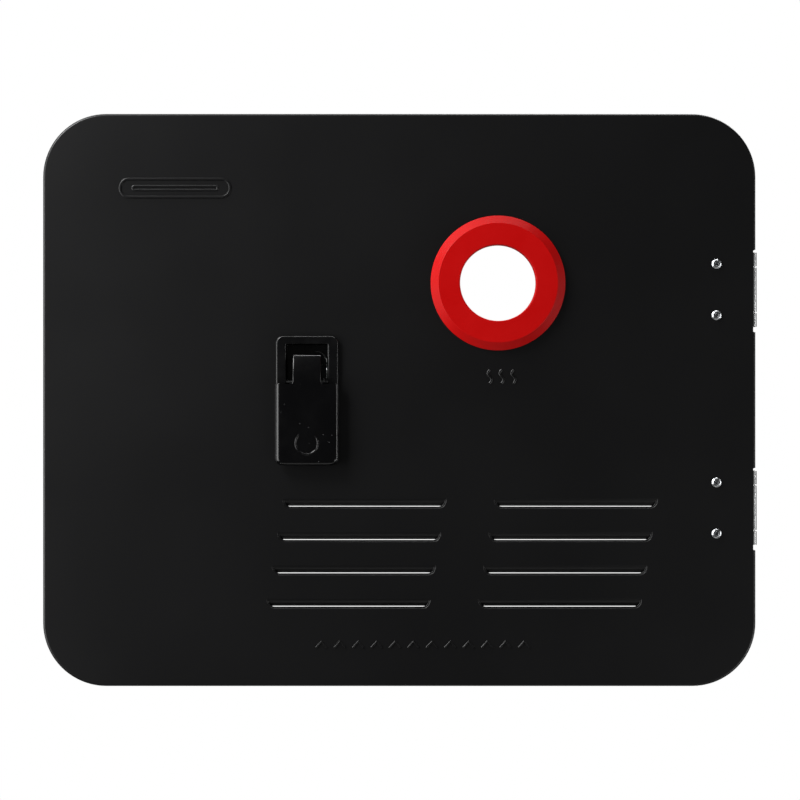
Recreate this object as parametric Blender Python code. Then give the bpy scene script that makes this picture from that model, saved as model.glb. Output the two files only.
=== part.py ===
"""Vented access door of a tankless water heater, with its latch and hinges.

A sheet-steel pan door hangs on two butt hinges at its right edge.  It carries
a red exhaust ring, eight pressed louvres and a pull latch whose lever draws a
spring bolt out of the keeper of the heater.

Design frame: X to the right and Z up as seen from outside, Y into the wall,
with the centre of the door's front face at the origin.  ORIGIN moves all of
it, so that the world origin is the back face of the upper wall leaf.
"""

import math

import bmesh
import bpy
from mathutils import Vector

MM = 0.001
GAP = 0.3 * MM                      # air between pieces that touch
SKIN = 0.02 * MM                    # keeps the faces of two tools off one plane

# Door pan
PANEL_WIDTH = 480 * MM
PANEL_HEIGHT = 385.5 * MM
PANEL_CORNER = 42.6 * MM
PANEL_BEND = 1.6 * MM
SHEET = 1.0 * MM
FLANGE_DEPTH = 15 * MM

# Weather seal behind the pan
SEAL_WIDTH = 10 * MM
SEAL_INSET = 5 * MM
SEAL_CORNER = 32 * MM
SEAL_ROUND = 2 * MM

# Exhaust ring
PORT_X = 66.5 * MM
PORT_Z = 78.8 * MM
PORT_BORE = 51.2 * MM
RING_OUTER = 90.8 * MM
RING_FACE = 80.3 * MM
RING_PROUD = 6.0 * MM
RING_BORE_EDGE = 0.5 * MM
NECK_WALL = 4.0 * MM
NECK_DEPTH = 10 * MM
RETAINER_WIDTH = 7 * MM
RETAINER_SHEET = 1.2 * MM

# Louvres: the sheet dips inwards from a smooth top edge to a slot along its foot
LOUVRE_LENGTH = 110.6 * MM
LOUVRE_HEIGHT = 7.6 * MM
LOUVRE_CORNER = 5.5 * MM
LOUVRE_DEPTH = 3.6 * MM             # of the dipped sheet at its free edge
LOUVRE_RIM = 1.2 * MM               # sloping rim round the ends and the foot
LOUVRE_RIM_DEPTH = 0.8 * MM
LOUVRE_SLOT = 0.9 * MM              # opening between the free edge and the rim
LOUVRE_END = 4.0 * MM               # closed stretch beside each end of the slot
LOUVRE_LAP = 1.5 * MM               # tools past the louvre's outline
LOUVRE_X = -23.45 * MM
LOUVRE_Z = -65.7 * MM
LOUVRE_ROWS = 4
LOUVRE_PITCH = 22.47 * MM
LOUVRE_SHIFT = -3.59 * MM
LOUVRE_COLUMNS = 2
COLUMN_PITCH = 142.4 * MM

# Hinges
HINGE_Z = {"upper": 74.4 * MM, "lower": -72.7 * MM}
HINGE_LENGTH = 50 * MM
KNUCKLE_RADIUS = 2.5 * MM
KNUCKLE_STANDS_OUT = 1.1 * MM       # barrel past the door's edge
END_KNUCKLE = 9.2 * MM
KNUCKLE_GAP = 0.9 * MM
HINGE_PIN_RADIUS = 1.0 * MM
LEAF_SHEET = 1.2 * MM
DOOR_LEAF_REACH = 33.6 * MM
WALL_LEAF_REACH = 28 * MM
WALL_HOLE_RADIUS = 2.25 * MM
LEAF_HOLE_PITCH = 34.5 * MM
WINDOW_AIR = 2.8 * MM               # notch in the pan past each end of a hinge
WINDOW_DEPTH = 1.6 * MM
WINDOW_DROP = 0.9 * MM

# Blind rivets
RIVET_EDGE = 26.3 * MM
RIVET_HEAD_RADIUS = 3.3 * MM
RIVET_HEAD_HEIGHT = 1.2 * MM
RIVET_SHANK_RADIUS = 1.6 * MM
RIVET_TAIL_RADIUS = 2.5 * MM
RIVET_TAIL_LENGTH = 3.6 * MM
RIVET_MANDREL_RADIUS = 1.0 * MM

# Latch: base and clamp plate
LATCH_X = -62.1 * MM
BEZEL_RIM = 6.9 * MM                # bezel beside the recess
BEZEL_TOP = 43.2 * MM
BEZEL_BOTTOM = -27 * MM
BEZEL_CORNER = 5 * MM
BEZEL_PROUD = 3.2 * MM
BEZEL_EDGE = 0.8 * MM
RECESS_WIDTH = 28.2 * MM
RECESS_TOP = 37.7 * MM
RECESS_BOTTOM = -2 * MM
RECESS_DEPTH = 13 * MM
TUB_WALL = 1.3 * MM
TUB_BOTTOM = -17.6 * MM
CLAMP_MARGIN = 0.5 * MM             # plate past the bezel's sides
CLAMP_TOP = 45 * MM
CLAMP_BOTTOM = -24 * MM
CLAMP_SHEET = 1.5 * MM
LATCH_SCREW_MARGIN = 3.0 * MM       # screw's axis from the tub's side
LATCH_SCREW_Z = (34 * MM, -12 * MM)
SCREW_RADIUS = 1.3 * MM
SCREW_HEAD_RADIUS = 2.4 * MM
SCREW_HEAD_HEIGHT = 1.5 * MM
BEZEL_SKIN = 0.7 * MM               # left in front of the screw holes

# Latch: lever
PADDLE_WIDTH = 43.3 * MM
PADDLE_TOP = 10.9 * MM
PADDLE_BOTTOM = -44.05 * MM
PADDLE_CORNER = 5.4 * MM
PADDLE_FRONT = -9.6 * MM
PADDLE_BACK = -5.4 * MM
PADDLE_EDGE = 1.0 * MM
TONGUE_WIDTH = 19.2 * MM
TONGUE_TOP = 30.85 * MM
TONGUE_TIP_SWEEP = 6.3 * MM         # tip's front, back from the paddle's face
TONGUE_TIP_THICKNESS = 2.4 * MM
TONGUE_ROOT = 5 * MM                # tongue's foot below the paddle's top
# Tongue's front and back: (above the paddle's top, back from its face)
TONGUE_FRONT = ((-3 * MM, 0.1 * MM), (2 * MM, 0.1 * MM), (8 * MM, 1.2 * MM), (14 * MM, 3.3 * MM))
TONGUE_REAR = ((14 * MM, 6.5 * MM), (9 * MM, 5.3 * MM))
PIVOT_Y = 3.5 * MM
PIVOT_Z = 12 * MM
PIVOT_RADIUS = 1.5 * MM
HUB_RADIUS = 4.2 * MM
TAIL_WIDTH = 7.2 * MM
TAIL_THICKNESS = 4.4 * MM
TAIL_SHORT = 1.3 * MM               # tail's end before the bolt's back
TAIL_SWING = 10 * MM                # slot below the pivot for the turning tail

# Latch: bolt and its guide
BOLT_WIDTH = 14 * MM
BOLT_THICKNESS = 4.4 * MM
BOLT_TOP = 34 * MM
BOLT_BOTTOM = -14 * MM
BOLT_NOSE = 7 * MM
BOLT_TIP = 1.2 * MM
BOLT_WINDOW_BELOW = 1.6 * MM        # window past the tail's sides, for its swing
BOLT_WINDOW_ABOVE = 1.3 * MM
BOLT_SLIDE_GAP = 0.4 * MM
GUIDE_SHEET = 1.2 * MM
GUIDE_TOP = 24 * MM
GUIDE_BOTTOM = -30 * MM
GUIDE_EAR = 6 * MM
GUIDE_SCREW_X = 11.6 * MM
GUIDE_SCREW_Z = -10 * MM
GUIDE_SCREW_DEPTH = 6.5 * MM
BOLT_SPRING_RADIUS = 1.5 * MM
BOLT_SPRING_WIRE = 0.35 * MM
BOLT_SPRING_TURNS = 7
LEVER_SPRING_RADIUS = 2.7 * MM
LEVER_SPRING_WIRE = 0.4 * MM
LEVER_SPRING_ARCH = 8 * MM
LEVER_SPRING_RISE = 13 * MM        # from the pivot to the start of the arch
LEVER_SPRING_TURNS = 3

# Worked out from the sizes above
EDGE_X = PANEL_WIDTH / 2
AXIS_X = EDGE_X + KNUCKLE_STANDS_OUT - KNUCKLE_RADIUS
AXIS_Y = SHEET + GAP + KNUCKLE_RADIUS
FLANGE_SWEEP = math.hypot(EDGE_X - AXIS_X, FLANGE_DEPTH - AXIS_Y)
WALL_LEAF_FRONT = AXIS_Y + FLANGE_SWEEP + 2 * GAP
WALL_Y = WALL_LEAF_FRONT + LEAF_SHEET
WALL_LEAF_OUTER_X = AXIS_X + KNUCKLE_RADIUS
WALL_LEAF_X = WALL_LEAF_OUTER_X - WALL_LEAF_REACH / 2
RIVET_X = EDGE_X - RIVET_EDGE
WINDOW_LENGTH = HINGE_LENGTH + 2 * WINDOW_AIR
DOOR_LEAF_FRONT = SHEET + GAP + SKIN
MIDDLE_KNUCKLE = HINGE_LENGTH - 2 * END_KNUCKLE - 2 * KNUCKLE_GAP
NECK_RADIUS = PORT_BORE / 2 + NECK_WALL
BEZEL_WIDTH = RECESS_WIDTH + 2 * BEZEL_RIM
CLAMP_WIDTH = BEZEL_WIDTH + 2 * CLAMP_MARGIN
TUB_WIDTH = RECESS_WIDTH + 2 * TUB_WALL
LATCH_SCREW_X = TUB_WIDTH / 2 + LATCH_SCREW_MARGIN
TUB_TOP = RECESS_TOP + TUB_WALL
TUB_BACK = RECESS_DEPTH + TUB_WALL
CUTOUT_GROW = 0.4 * MM
GUIDE_FRONT = TUB_BACK + GAP
BOLT_FRONT = GUIDE_FRONT + GUIDE_SHEET - BOLT_SLIDE_GAP
BOLT_BACK = BOLT_FRONT + BOLT_THICKNESS
TAIL_END = BOLT_BACK - TAIL_SHORT
GUIDE_BACK = BOLT_BACK + BOLT_SLIDE_GAP + GUIDE_SHEET
ORIGIN = (WALL_LEAF_X, WALL_Y, HINGE_Z["upper"])


def clear_scene():
    for old in list(bpy.data.objects):
        bpy.data.objects.remove(old, do_unlink=True)


def make_material(name, colour, roughness, metallic=0.0):
    material = bpy.data.materials.new(name)
    material.use_nodes = True
    shader = material.node_tree.nodes["Principled BSDF"]
    shader.inputs["Base Color"].default_value = (*colour, 1.0)
    shader.inputs["Roughness"].default_value = roughness
    shader.inputs["Metallic"].default_value = metallic
    material.diffuse_color = (*colour, 1.0)
    return material


# ---- outlines, all in the XZ plane and turning the same way ----

def arc(centre_x, centre_z, radius, start, sweep, steps):
    points = []
    for step in range(steps + 1):
        angle = math.radians(start + sweep * step / steps)
        points.append((centre_x + radius * math.cos(angle), centre_z + radius * math.sin(angle)))
    return points


def rounded_outline(width, height, radius, inset=0.0, steps=6, centre=(0.0, 0.0)):
    """Rectangle with round corners; the inset shrinks it evenly."""
    radius = max(radius - inset, 0.1 * MM)
    reach_x = width / 2 - inset - radius
    reach_z = height / 2 - inset - radius
    points = []
    for quarter, (side_x, side_z) in enumerate(((1, 1), (-1, 1), (-1, -1), (1, -1))):
        corner_x = centre[0] + side_x * reach_x
        corner_z = centre[1] + side_z * reach_z
        points += arc(corner_x, corner_z, radius, 90 * quarter, 90, steps)
    return points


def louvre_outline(length, top, bottom, radius, centre_x):
    """Slot outline with a straight top edge and two round bottom corners."""
    half = length / 2
    left = arc(centre_x - half + radius, bottom + radius, radius, 180, 90, 4)
    right = arc(centre_x + half - radius, bottom + radius, radius, 270, 90, 4)
    return [(centre_x - half, top), *left, *right, (centre_x + half, top)]


def at_depth(outline, y):
    return [(x, y, z) for x, z in outline]


# ---- solids ----

def loft(loops, ring=False):
    """Closed mesh through loops of points: capped at both ends, or end to end as a ring."""
    bm = bmesh.new()
    rows = [[bm.verts.new(point) for point in loop] for loop in loops]
    pairs = list(zip(rows, rows[1:]))
    if ring:
        pairs.append((rows[-1], rows[0]))
    else:
        bm.faces.new(rows[0])
        bm.faces.new(rows[-1])
    count = len(rows[0])
    for first, second in pairs:
        for here in range(count):
            after = (here + 1) % count
            bm.faces.new((first[here], first[after], second[after], second[here]))
    bmesh.ops.recalc_face_normals(bm, faces=bm.faces)
    mesh = bpy.data.meshes.new("solid")
    bm.to_mesh(mesh)
    bm.free()
    return mesh


def box(low, high):
    (x0, y0, z0), (x1, y1, z1) = low, high
    outline = [(x0, z0), (x1, z0), (x1, z1), (x0, z1)]
    return loft([at_depth(outline, y0), at_depth(outline, y1)])


def side_profile(points, x0, x1):
    """Solid with the given (y, z) side view, between two X planes."""
    return loft([[(x, y, z) for y, z in points] for x in (x0, x1)])


def rod(axis, centre, radius, start, end, segments=16):
    """Plain round bar along an axis; centre gives the two coordinates across it."""
    return turned(axis, centre, [(radius, start), (radius, end)], segments)


def turned(axis, centre, profile, segments=24, ring=False):
    """Round solid about a line along an axis, from (radius, place along it) pairs."""
    loops = []
    for radius, along in profile:
        loop = []
        for step in range(segments):
            angle = math.tau * step / segments
            first = centre[0] + radius * math.cos(angle)
            second = centre[1] + radius * math.sin(angle)
            loop.append({"X": (along, first, second),
                         "Y": (first, along, second),
                         "Z": (first, second, along)}[axis])
        loops.append(loop)
    return loft(loops, ring)


def combine(meshes):
    """One mesh of several solids that stand apart."""
    bm = bmesh.new()
    for mesh in meshes:
        bm.from_mesh(mesh)
    mesh = bpy.data.meshes.new("solids")
    bm.to_mesh(mesh)
    bm.free()
    return mesh


def boolean(base, tool, operation):
    holder = bpy.data.objects.new("base", base)
    cutter = bpy.data.objects.new("tool", tool)
    for item in (holder, cutter):
        bpy.context.scene.collection.objects.link(item)
    modifier = holder.modifiers.new("boolean", "BOOLEAN")
    modifier.operation = operation
    modifier.solver = "EXACT"
    modifier.object = cutter
    bpy.context.view_layer.update()
    graph = bpy.context.evaluated_depsgraph_get()
    result = bpy.data.meshes.new_from_object(holder.evaluated_get(graph))
    for item in (holder, cutter):
        bpy.data.objects.remove(item, do_unlink=True)
    return result


def join(base, *tools):
    for tool in tools:
        base = boolean(base, tool, "UNION")
    return base


def cut(base, *tools):
    for tool in tools:
        base = boolean(base, tool, "DIFFERENCE")
    return base


def tube_mesh(points, radius, sides=6):
    """Round wire along a list of points, closed at both ends."""
    loops = []
    for index, point in enumerate(points):
        before = points[max(index - 1, 0)]
        after = points[min(index + 1, len(points) - 1)]
        along = (after - before).normalized()
        across = along.orthogonal() if index == 0 else across - along * across.dot(along)
        across = across.normalized()
        third = along.cross(across)
        loop = []
        for side in range(sides):
            angle = math.tau * side / sides
            loop.append(point + radius * (math.cos(angle) * across + math.sin(angle) * third))
        loops.append(loop)
    return loft(loops)


# ---- placing ----

def add_pivot(name, place, parent=None):
    """Empty on a joint's axis, at a place in the design frame."""
    pivot = bpy.data.objects.new(name, None)
    bpy.context.scene.collection.objects.link(pivot)
    pivot.parent = parent
    base = parent["design_place"] if parent else ORIGIN
    pivot["design_place"] = place
    pivot.location = [own - other for own, other in zip(place, base)]
    return pivot


def add_part(name, mesh, material, pivot):
    """Sub-part from a mesh in the design frame, with its origin on its pivot."""
    place = pivot["design_place"]
    bm = bmesh.new()
    bm.from_mesh(mesh)
    bmesh.ops.translate(bm, verts=bm.verts, vec=[-value for value in place])
    bmesh.ops.remove_doubles(bm, verts=bm.verts, dist=0.002 * MM)
    bmesh.ops.dissolve_degenerate(bm, dist=0.002 * MM, edges=bm.edges)
    bm.to_mesh(mesh)
    bm.free()
    mesh.name = name
    mesh.materials.clear()
    mesh.materials.append(material)
    mesh.shade_smooth()
    mesh.set_sharp_from_angle(angle=math.radians(35))
    part = bpy.data.objects.new(name, mesh)
    bpy.context.scene.collection.objects.link(part)
    part.parent = pivot
    return part


# ---- door pan and what is fixed to it ----

def pan_loops():
    """Loops from the inner face, round the flange's rim, to the outer face."""
    inner, outer = [], []
    inner_bend = PANEL_BEND - SHEET
    for step in range(4):
        angle = math.radians(30 * step)
        outer.append((PANEL_BEND * (1 - math.cos(angle)), PANEL_BEND * (1 - math.sin(angle))))
        inner.append((SHEET + inner_bend * (1 - math.cos(angle)),
                      SHEET + inner_bend * (1 - math.sin(angle))))
    depths = [*reversed(inner), (SHEET, FLANGE_DEPTH), (0.0, FLANGE_DEPTH), *outer]
    return [at_depth(rounded_outline(PANEL_WIDTH, PANEL_HEIGHT, PANEL_CORNER, inset, 8), y)
            for inset, y in depths]


def louvre_places():
    """Centre line and top edge of each louvre."""
    return [(LOUVRE_X + column * COLUMN_PITCH + row * LOUVRE_SHIFT,
             LOUVRE_Z - row * LOUVRE_PITCH)
            for column in range(LOUVRE_COLUMNS) for row in range(LOUVRE_ROWS)]


def louvre_prism(centre_x, top, lap, sections):
    """Louvre outline through sections of (depth, inset of its ends and foot)."""
    loops = []
    for depth, inset in sections:
        outline = louvre_outline(LOUVRE_LENGTH - 2 * inset, top + lap,
                                 top - LOUVRE_HEIGHT + inset, LOUVRE_CORNER - inset, centre_x)
        loops.append(at_depth(outline, depth))
    return loft(loops)


def dip(top, behind=0.0):
    """(y, z) points down the dipped sheet, from its top edge to its free edge."""
    steps = 5
    fall = LOUVRE_HEIGHT - LOUVRE_RIM - LOUVRE_SLOT
    return [(behind - SKIN + LOUVRE_DEPTH * (step / steps) ** 2, top - fall * step / steps)
            for step in range(steps + 1)]


def louvre_meshes():
    """Outer shells, hollows and slots of all louvres."""
    rim_back = SHEET + LOUVRE_RIM_DEPTH
    deep = LOUVRE_DEPTH + 2 * SHEET
    half = LOUVRE_LENGTH / 2 + LOUVRE_LAP
    slot_half = LOUVRE_LENGTH / 2 - LOUVRE_END
    hollow_steps = ((-SHEET, 0.0), (0.0, 0.0), (LOUVRE_RIM_DEPTH, LOUVRE_RIM), (deep, LOUVRE_RIM))
    shell_steps = ((SHEET / 2, -0.8 * SHEET), (SHEET, -0.5 * SHEET), (rim_back, LOUVRE_RIM - SHEET),
                   (deep + SHEET, LOUVRE_RIM - SHEET))
    shells, hollows, slots = [], [], []
    for centre_x, top in louvre_places():
        foot = top - LOUVRE_HEIGHT - LOUVRE_LAP
        shell_back = dip(top, SHEET)
        free_edge = shell_back[-1]
        shell_view = [(SHEET / 2, top + LOUVRE_LAP), (SHEET - SKIN, top + LOUVRE_LAP), *shell_back,
                      (free_edge[0], foot), (SHEET / 2, foot)]
        hollow_view = [(-2 * SHEET, top + LOUVRE_LAP), (-SKIN, top + LOUVRE_LAP), *dip(top),
                       (2 * deep, free_edge[1]), (2 * deep, foot), (-2 * SHEET, foot)]
        shell = louvre_prism(centre_x, top, LOUVRE_LAP, shell_steps)
        hollow = louvre_prism(centre_x, top, 0.0, hollow_steps)
        for group, view, solid in ((shells, shell_view, shell), (hollows, hollow_view, hollow)):
            side = side_profile(view, centre_x - half, centre_x + half)
            group.append(boolean(solid, side, "INTERSECT"))
        slots.append(box((centre_x - slot_half, rim_back, foot - SHEET),
                         (centre_x + slot_half, 2 * deep, free_edge[1] - SKIN)))
    return combine(shells), combine(hollows), combine(slots)


def latch_cutout(y0, y1):
    """Hole for the latch's tub, in the pan and in the clamp plate."""
    half = TUB_WIDTH / 2 + CUTOUT_GROW
    return box((LATCH_X - half, y0, TUB_BOTTOM - CUTOUT_GROW),
               (LATCH_X + half, y1, TUB_TOP + CUTOUT_GROW))


def latch_screw_places():
    return [(LATCH_X + side * LATCH_SCREW_X, z) for z in LATCH_SCREW_Z for side in (-1, 1)]


def rivet_places():
    return {f"{hinge}_rivet_{end}": (RIVET_X, z + side * LEAF_HOLE_PITCH / 2)
            for hinge, z in HINGE_Z.items()
            for end, side in (("top", 1), ("bottom", -1))}


def door_panel_mesh():
    shells, hollows, slots = louvre_meshes()
    mesh = cut(join(loft(pan_loops()), shells), hollows, slots)
    front, back = -5 * SHEET, 5 * SHEET
    holes = [rod("Y", (PORT_X, PORT_Z), NECK_RADIUS + GAP, front, back, 40)]
    holes.append(latch_cutout(front, back))
    holes += [rod("Y", place, SCREW_RADIUS + GAP, front, back) for place in latch_screw_places()]
    holes += [rod("Y", place, RIVET_SHANK_RADIUS + GAP, front, back)
              for place in rivet_places().values()]
    for z in HINGE_Z.values():
        middle = z - WINDOW_DROP
        holes.append(box((EDGE_X - WINDOW_DEPTH, front, middle - WINDOW_LENGTH / 2),
                         (EDGE_X + SHEET, FLANGE_DEPTH + SHEET, middle + WINDOW_LENGTH / 2)))
    return cut(mesh, combine(holes))


def seal_mesh():
    """Foam strip in a closed run, kept inboard of the door leaves."""
    left = -EDGE_X + SHEET + SEAL_INSET
    right = AXIS_X - DOOR_LEAF_REACH - SEAL_INSET
    width = right - left
    height = PANEL_HEIGHT - 2 * (SHEET + SEAL_INSET)
    front = SHEET + GAP
    back = WALL_Y - GAP
    round_y = back - SEAL_ROUND
    depths = [(0.0, front), (0.0, round_y), (SEAL_ROUND, back), (SEAL_WIDTH - SEAL_ROUND, back),
              (SEAL_WIDTH, round_y), (SEAL_WIDTH, front)]
    centre = ((left + right) / 2, 0.0)
    return loft([at_depth(rounded_outline(width, height, SEAL_CORNER, inset, 5, centre), y)
                 for inset, y in depths], ring=True)


def exhaust_ring_mesh():
    bore = PORT_BORE / 2
    chamfer = (RING_OUTER - RING_FACE) / 2
    profile = [(bore, NECK_DEPTH), (bore, -RING_PROUD + RING_BORE_EDGE),
               (bore + RING_BORE_EDGE, -RING_PROUD), (RING_FACE / 2, -RING_PROUD),
               (RING_OUTER / 2, chamfer - RING_PROUD), (RING_OUTER / 2, -GAP),
               (NECK_RADIUS, -GAP), (NECK_RADIUS, NECK_DEPTH)]
    return turned("Y", (PORT_X, PORT_Z), profile, 56, ring=True)


def ring_retainer_mesh():
    inner = NECK_RADIUS + GAP
    front = SHEET + GAP
    profile = [(inner, front), (inner, front + RETAINER_SHEET),
               (inner + RETAINER_WIDTH, front + RETAINER_SHEET), (inner + RETAINER_WIDTH, front)]
    return turned("Y", (PORT_X, PORT_Z), profile, 40, ring=True)


# ---- latch ----

def latch_base_mesh():
    height = BEZEL_TOP - BEZEL_BOTTOM
    middle = (LATCH_X, (BEZEL_TOP + BEZEL_BOTTOM) / 2)
    depths = ((0.0, -GAP), (0.0, -BEZEL_PROUD + BEZEL_EDGE),
              (0.3 * BEZEL_EDGE, -BEZEL_PROUD + 0.3 * BEZEL_EDGE), (BEZEL_EDGE, -BEZEL_PROUD))
    bezel = loft([at_depth(rounded_outline(BEZEL_WIDTH, height, BEZEL_CORNER, inset, 5, middle), y)
                  for inset, y in depths])
    half = TUB_WIDTH / 2
    tub = box((LATCH_X - half, -BEZEL_PROUD / 2, TUB_BOTTOM), (LATCH_X + half, TUB_BACK, TUB_TOP))
    half = RECESS_WIDTH / 2
    recess = box((LATCH_X - half, -3 * BEZEL_PROUD, RECESS_BOTTOM),
                 (LATCH_X + half, RECESS_DEPTH, RECESS_TOP))
    pin_hole = rod("X", (PIVOT_Y, PIVOT_Z), PIVOT_RADIUS + GAP,
                   LATCH_X - TUB_WIDTH, LATCH_X + TUB_WIDTH)
    half = TAIL_WIDTH / 2 + 2 * GAP
    tail_slot = box((LATCH_X - half, RECESS_DEPTH - TUB_WALL, PIVOT_Z - TAIL_SWING),
                    (LATCH_X + half, TUB_BACK + TUB_WALL, PIVOT_Z + TAIL_THICKNESS / 2 + 3 * GAP))
    holes = [rod("Y", place, SCREW_RADIUS + GAP, -BEZEL_PROUD + BEZEL_SKIN, GAP, 12)
             for place in latch_screw_places()]
    holes += [rod("Y", place, SCREW_RADIUS + GAP, TUB_BACK - GUIDE_SCREW_DEPTH,
                  TUB_BACK + GAP, 12) for place in guide_screw_places()]
    return cut(join(bezel, tub), recess, pin_hole, tail_slot, combine(holes))


def clamp_plate_mesh():
    front = SHEET + GAP
    middle = (LATCH_X, (CLAMP_TOP + CLAMP_BOTTOM) / 2)
    outline = rounded_outline(CLAMP_WIDTH, CLAMP_TOP - CLAMP_BOTTOM, BEZEL_CORNER, 0.0, 4, middle)
    plate = loft([at_depth(outline, y) for y in (front, front + CLAMP_SHEET)])
    holes = [rod("Y", place, SCREW_RADIUS + GAP, 0.0, 5 * SHEET, 12)
             for place in latch_screw_places()]
    return cut(plate, latch_cutout(0.0, 5 * SHEET), combine(holes))


def screw_mesh(place, seat_y, tip_y):
    """Pan-head screw driven from behind, with a blunt point and a cross-drive dimple."""
    head = seat_y + SCREW_HEAD_HEIGHT
    profile = [(0.4 * SCREW_RADIUS, tip_y), (SCREW_RADIUS, tip_y + 2 * GAP), (SCREW_RADIUS, seat_y),
               (SCREW_HEAD_RADIUS, seat_y), (SCREW_HEAD_RADIUS, head - 0.5 * SCREW_HEAD_HEIGHT),
               (0.65 * SCREW_HEAD_RADIUS, head), (0.3 * SCREW_HEAD_RADIUS, head),
               (0.1 * SCREW_HEAD_RADIUS, head - 0.5 * SCREW_HEAD_HEIGHT)]
    return turned("Y", place, profile, 14)


def guide_screw_places():
    return [(LATCH_X + side * GUIDE_SCREW_X, GUIDE_SCREW_Z) for side in (-1, 1)]


def guide_mesh():
    """Hat-section strap behind the tub, closed below by the spring's seat."""
    inner = BOLT_WIDTH / 2 + BOLT_SLIDE_GAP
    outer = inner + GUIDE_SHEET
    ear = outer + GUIDE_EAR
    ear_back = GUIDE_FRONT + GUIDE_SHEET
    half = [(inner, GUIDE_FRONT), (ear, GUIDE_FRONT), (ear, ear_back), (outer, ear_back),
            (outer, GUIDE_BACK)]
    web = GUIDE_BACK - GUIDE_SHEET
    section = half + [(-x, y) for x, y in reversed(half)] + [(-inner, web), (inner, web)]
    strap = loft([[(LATCH_X + x, y, z) for x, y in section] for z in (GUIDE_BOTTOM, GUIDE_TOP)])
    seat_half = inner + GUIDE_SHEET / 2
    seat = box((LATCH_X - seat_half, GUIDE_FRONT + GUIDE_SHEET / 4, GUIDE_BOTTOM),
               (LATCH_X + seat_half, web + GUIDE_SHEET / 2, GUIDE_BOTTOM + GUIDE_SHEET))
    holes = [rod("Y", place, SCREW_RADIUS + GAP, GUIDE_FRONT - GAP, ear_back + GAP, 12)
             for place in guide_screw_places()]
    return cut(join(strap, seat), combine(holes))


def lever_mesh():
    """Paddle, tongue, hub and tail of the pull lever, moulded in one."""
    height = PADDLE_TOP - PADDLE_BOTTOM + PADDLE_CORNER
    middle = (LATCH_X, PADDLE_BOTTOM + height / 2)
    depths = ((0.0, PADDLE_BACK), (0.0, PADDLE_FRONT + PADDLE_EDGE),
              (0.3 * PADDLE_EDGE, PADDLE_FRONT + 0.3 * PADDLE_EDGE), (PADDLE_EDGE, PADDLE_FRONT))
    paddle = loft([at_depth(rounded_outline(PADDLE_WIDTH, height, PADDLE_CORNER, inset, 5, middle), y)
                   for inset, y in depths])
    above = box((LATCH_X - PADDLE_WIDTH, -PADDLE_WIDTH, PADDLE_TOP),
                (LATCH_X + PADDLE_WIDTH, PADDLE_WIDTH, PADDLE_TOP + PADDLE_WIDTH))
    tip = PADDLE_FRONT + TONGUE_TIP_SWEEP
    tongue_view = [(PADDLE_FRONT + sweep, PADDLE_TOP + rise) for rise, sweep in TONGUE_FRONT]
    tongue_view += [(tip, TONGUE_TOP), (tip + TONGUE_TIP_THICKNESS, TONGUE_TOP)]
    tongue_view += [(PADDLE_FRONT + sweep, PADDLE_TOP + rise) for rise, sweep in TONGUE_REAR]
    tongue_view += arc(PIVOT_Y, PIVOT_Z, HUB_RADIUS, 75, -150, 8)
    tongue_view += [(PADDLE_BACK - 0.1 * TONGUE_ROOT, PADDLE_TOP - TONGUE_ROOT)]
    half = TONGUE_WIDTH / 2
    tongue = side_profile(tongue_view, LATCH_X - half, LATCH_X + half)
    half = TAIL_WIDTH / 2
    tail = box((LATCH_X - half, PIVOT_Y, PIVOT_Z - TAIL_THICKNESS / 2),
               (LATCH_X + half, TAIL_END, PIVOT_Z + TAIL_THICKNESS / 2))
    bore = rod("X", (PIVOT_Y, PIVOT_Z), PIVOT_RADIUS + GAP / 3,
               LATCH_X - TONGUE_WIDTH, LATCH_X + TONGUE_WIDTH, 20)
    return cut(join(cut(paddle, above), tongue, tail), bore)


def pivot_pin_mesh():
    half = TUB_WIDTH / 2
    return rod("X", (PIVOT_Y, PIVOT_Z), PIVOT_RADIUS, LATCH_X - half, LATCH_X + half, 20)


def lever_spring_points():
    """Torsion spring beside the hub: coil round the pin and a leg arched up the recess."""
    start_x = LATCH_X + TONGUE_WIDTH / 2 + 2 * GAP + LEVER_SPRING_WIRE
    pitch = 2 * LEVER_SPRING_WIRE + 0.1 * MM
    points = []
    steps = 14
    for step in range(LEVER_SPRING_TURNS * steps + 1):
        angle = math.tau * step / steps
        points.append(Vector((start_x + pitch * step / steps,
                              PIVOT_Y + LEVER_SPRING_RADIUS * math.cos(angle),
                              PIVOT_Z + LEVER_SPRING_RADIUS * math.sin(angle))))
    end = points[-1]
    leg_y = RECESS_DEPTH - LEVER_SPRING_WIRE - GAP
    arch_z = PIVOT_Z + LEVER_SPRING_RISE
    for step in range(1, 8):
        angle = math.radians(90 * step / 8)
        points.append(Vector((end.x, end.y + (leg_y - end.y) * (1 - math.cos(angle)),
                              end.z + (arch_z - end.z) * math.sin(angle))))
    for across, z in arc(end.x - LEVER_SPRING_ARCH, arch_z, LEVER_SPRING_ARCH, 0, 90, 8):
        points.append(Vector((across, leg_y, z)))
    return points


def bolt_mesh():
    """Flat bar with a window for the lever's tail and a ramp behind its nose."""
    view = [(BOLT_FRONT, BOLT_BOTTOM), (BOLT_BACK, BOLT_BOTTOM), (BOLT_BACK, BOLT_TOP - BOLT_NOSE),
            (BOLT_FRONT + BOLT_TIP, BOLT_TOP), (BOLT_FRONT, BOLT_TOP)]
    half = BOLT_WIDTH / 2
    bar = side_profile(view, LATCH_X - half, LATCH_X + half)
    half = TAIL_WIDTH / 2 + 2 * GAP
    low = PIVOT_Z - TAIL_THICKNESS / 2 - BOLT_WINDOW_BELOW
    high = PIVOT_Z + TAIL_THICKNESS / 2 + BOLT_WINDOW_ABOVE
    window = box((LATCH_X - half, BOLT_FRONT - SHEET, low),
                 (LATCH_X + half, BOLT_BACK + SHEET, high))
    return cut(bar, window)


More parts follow.
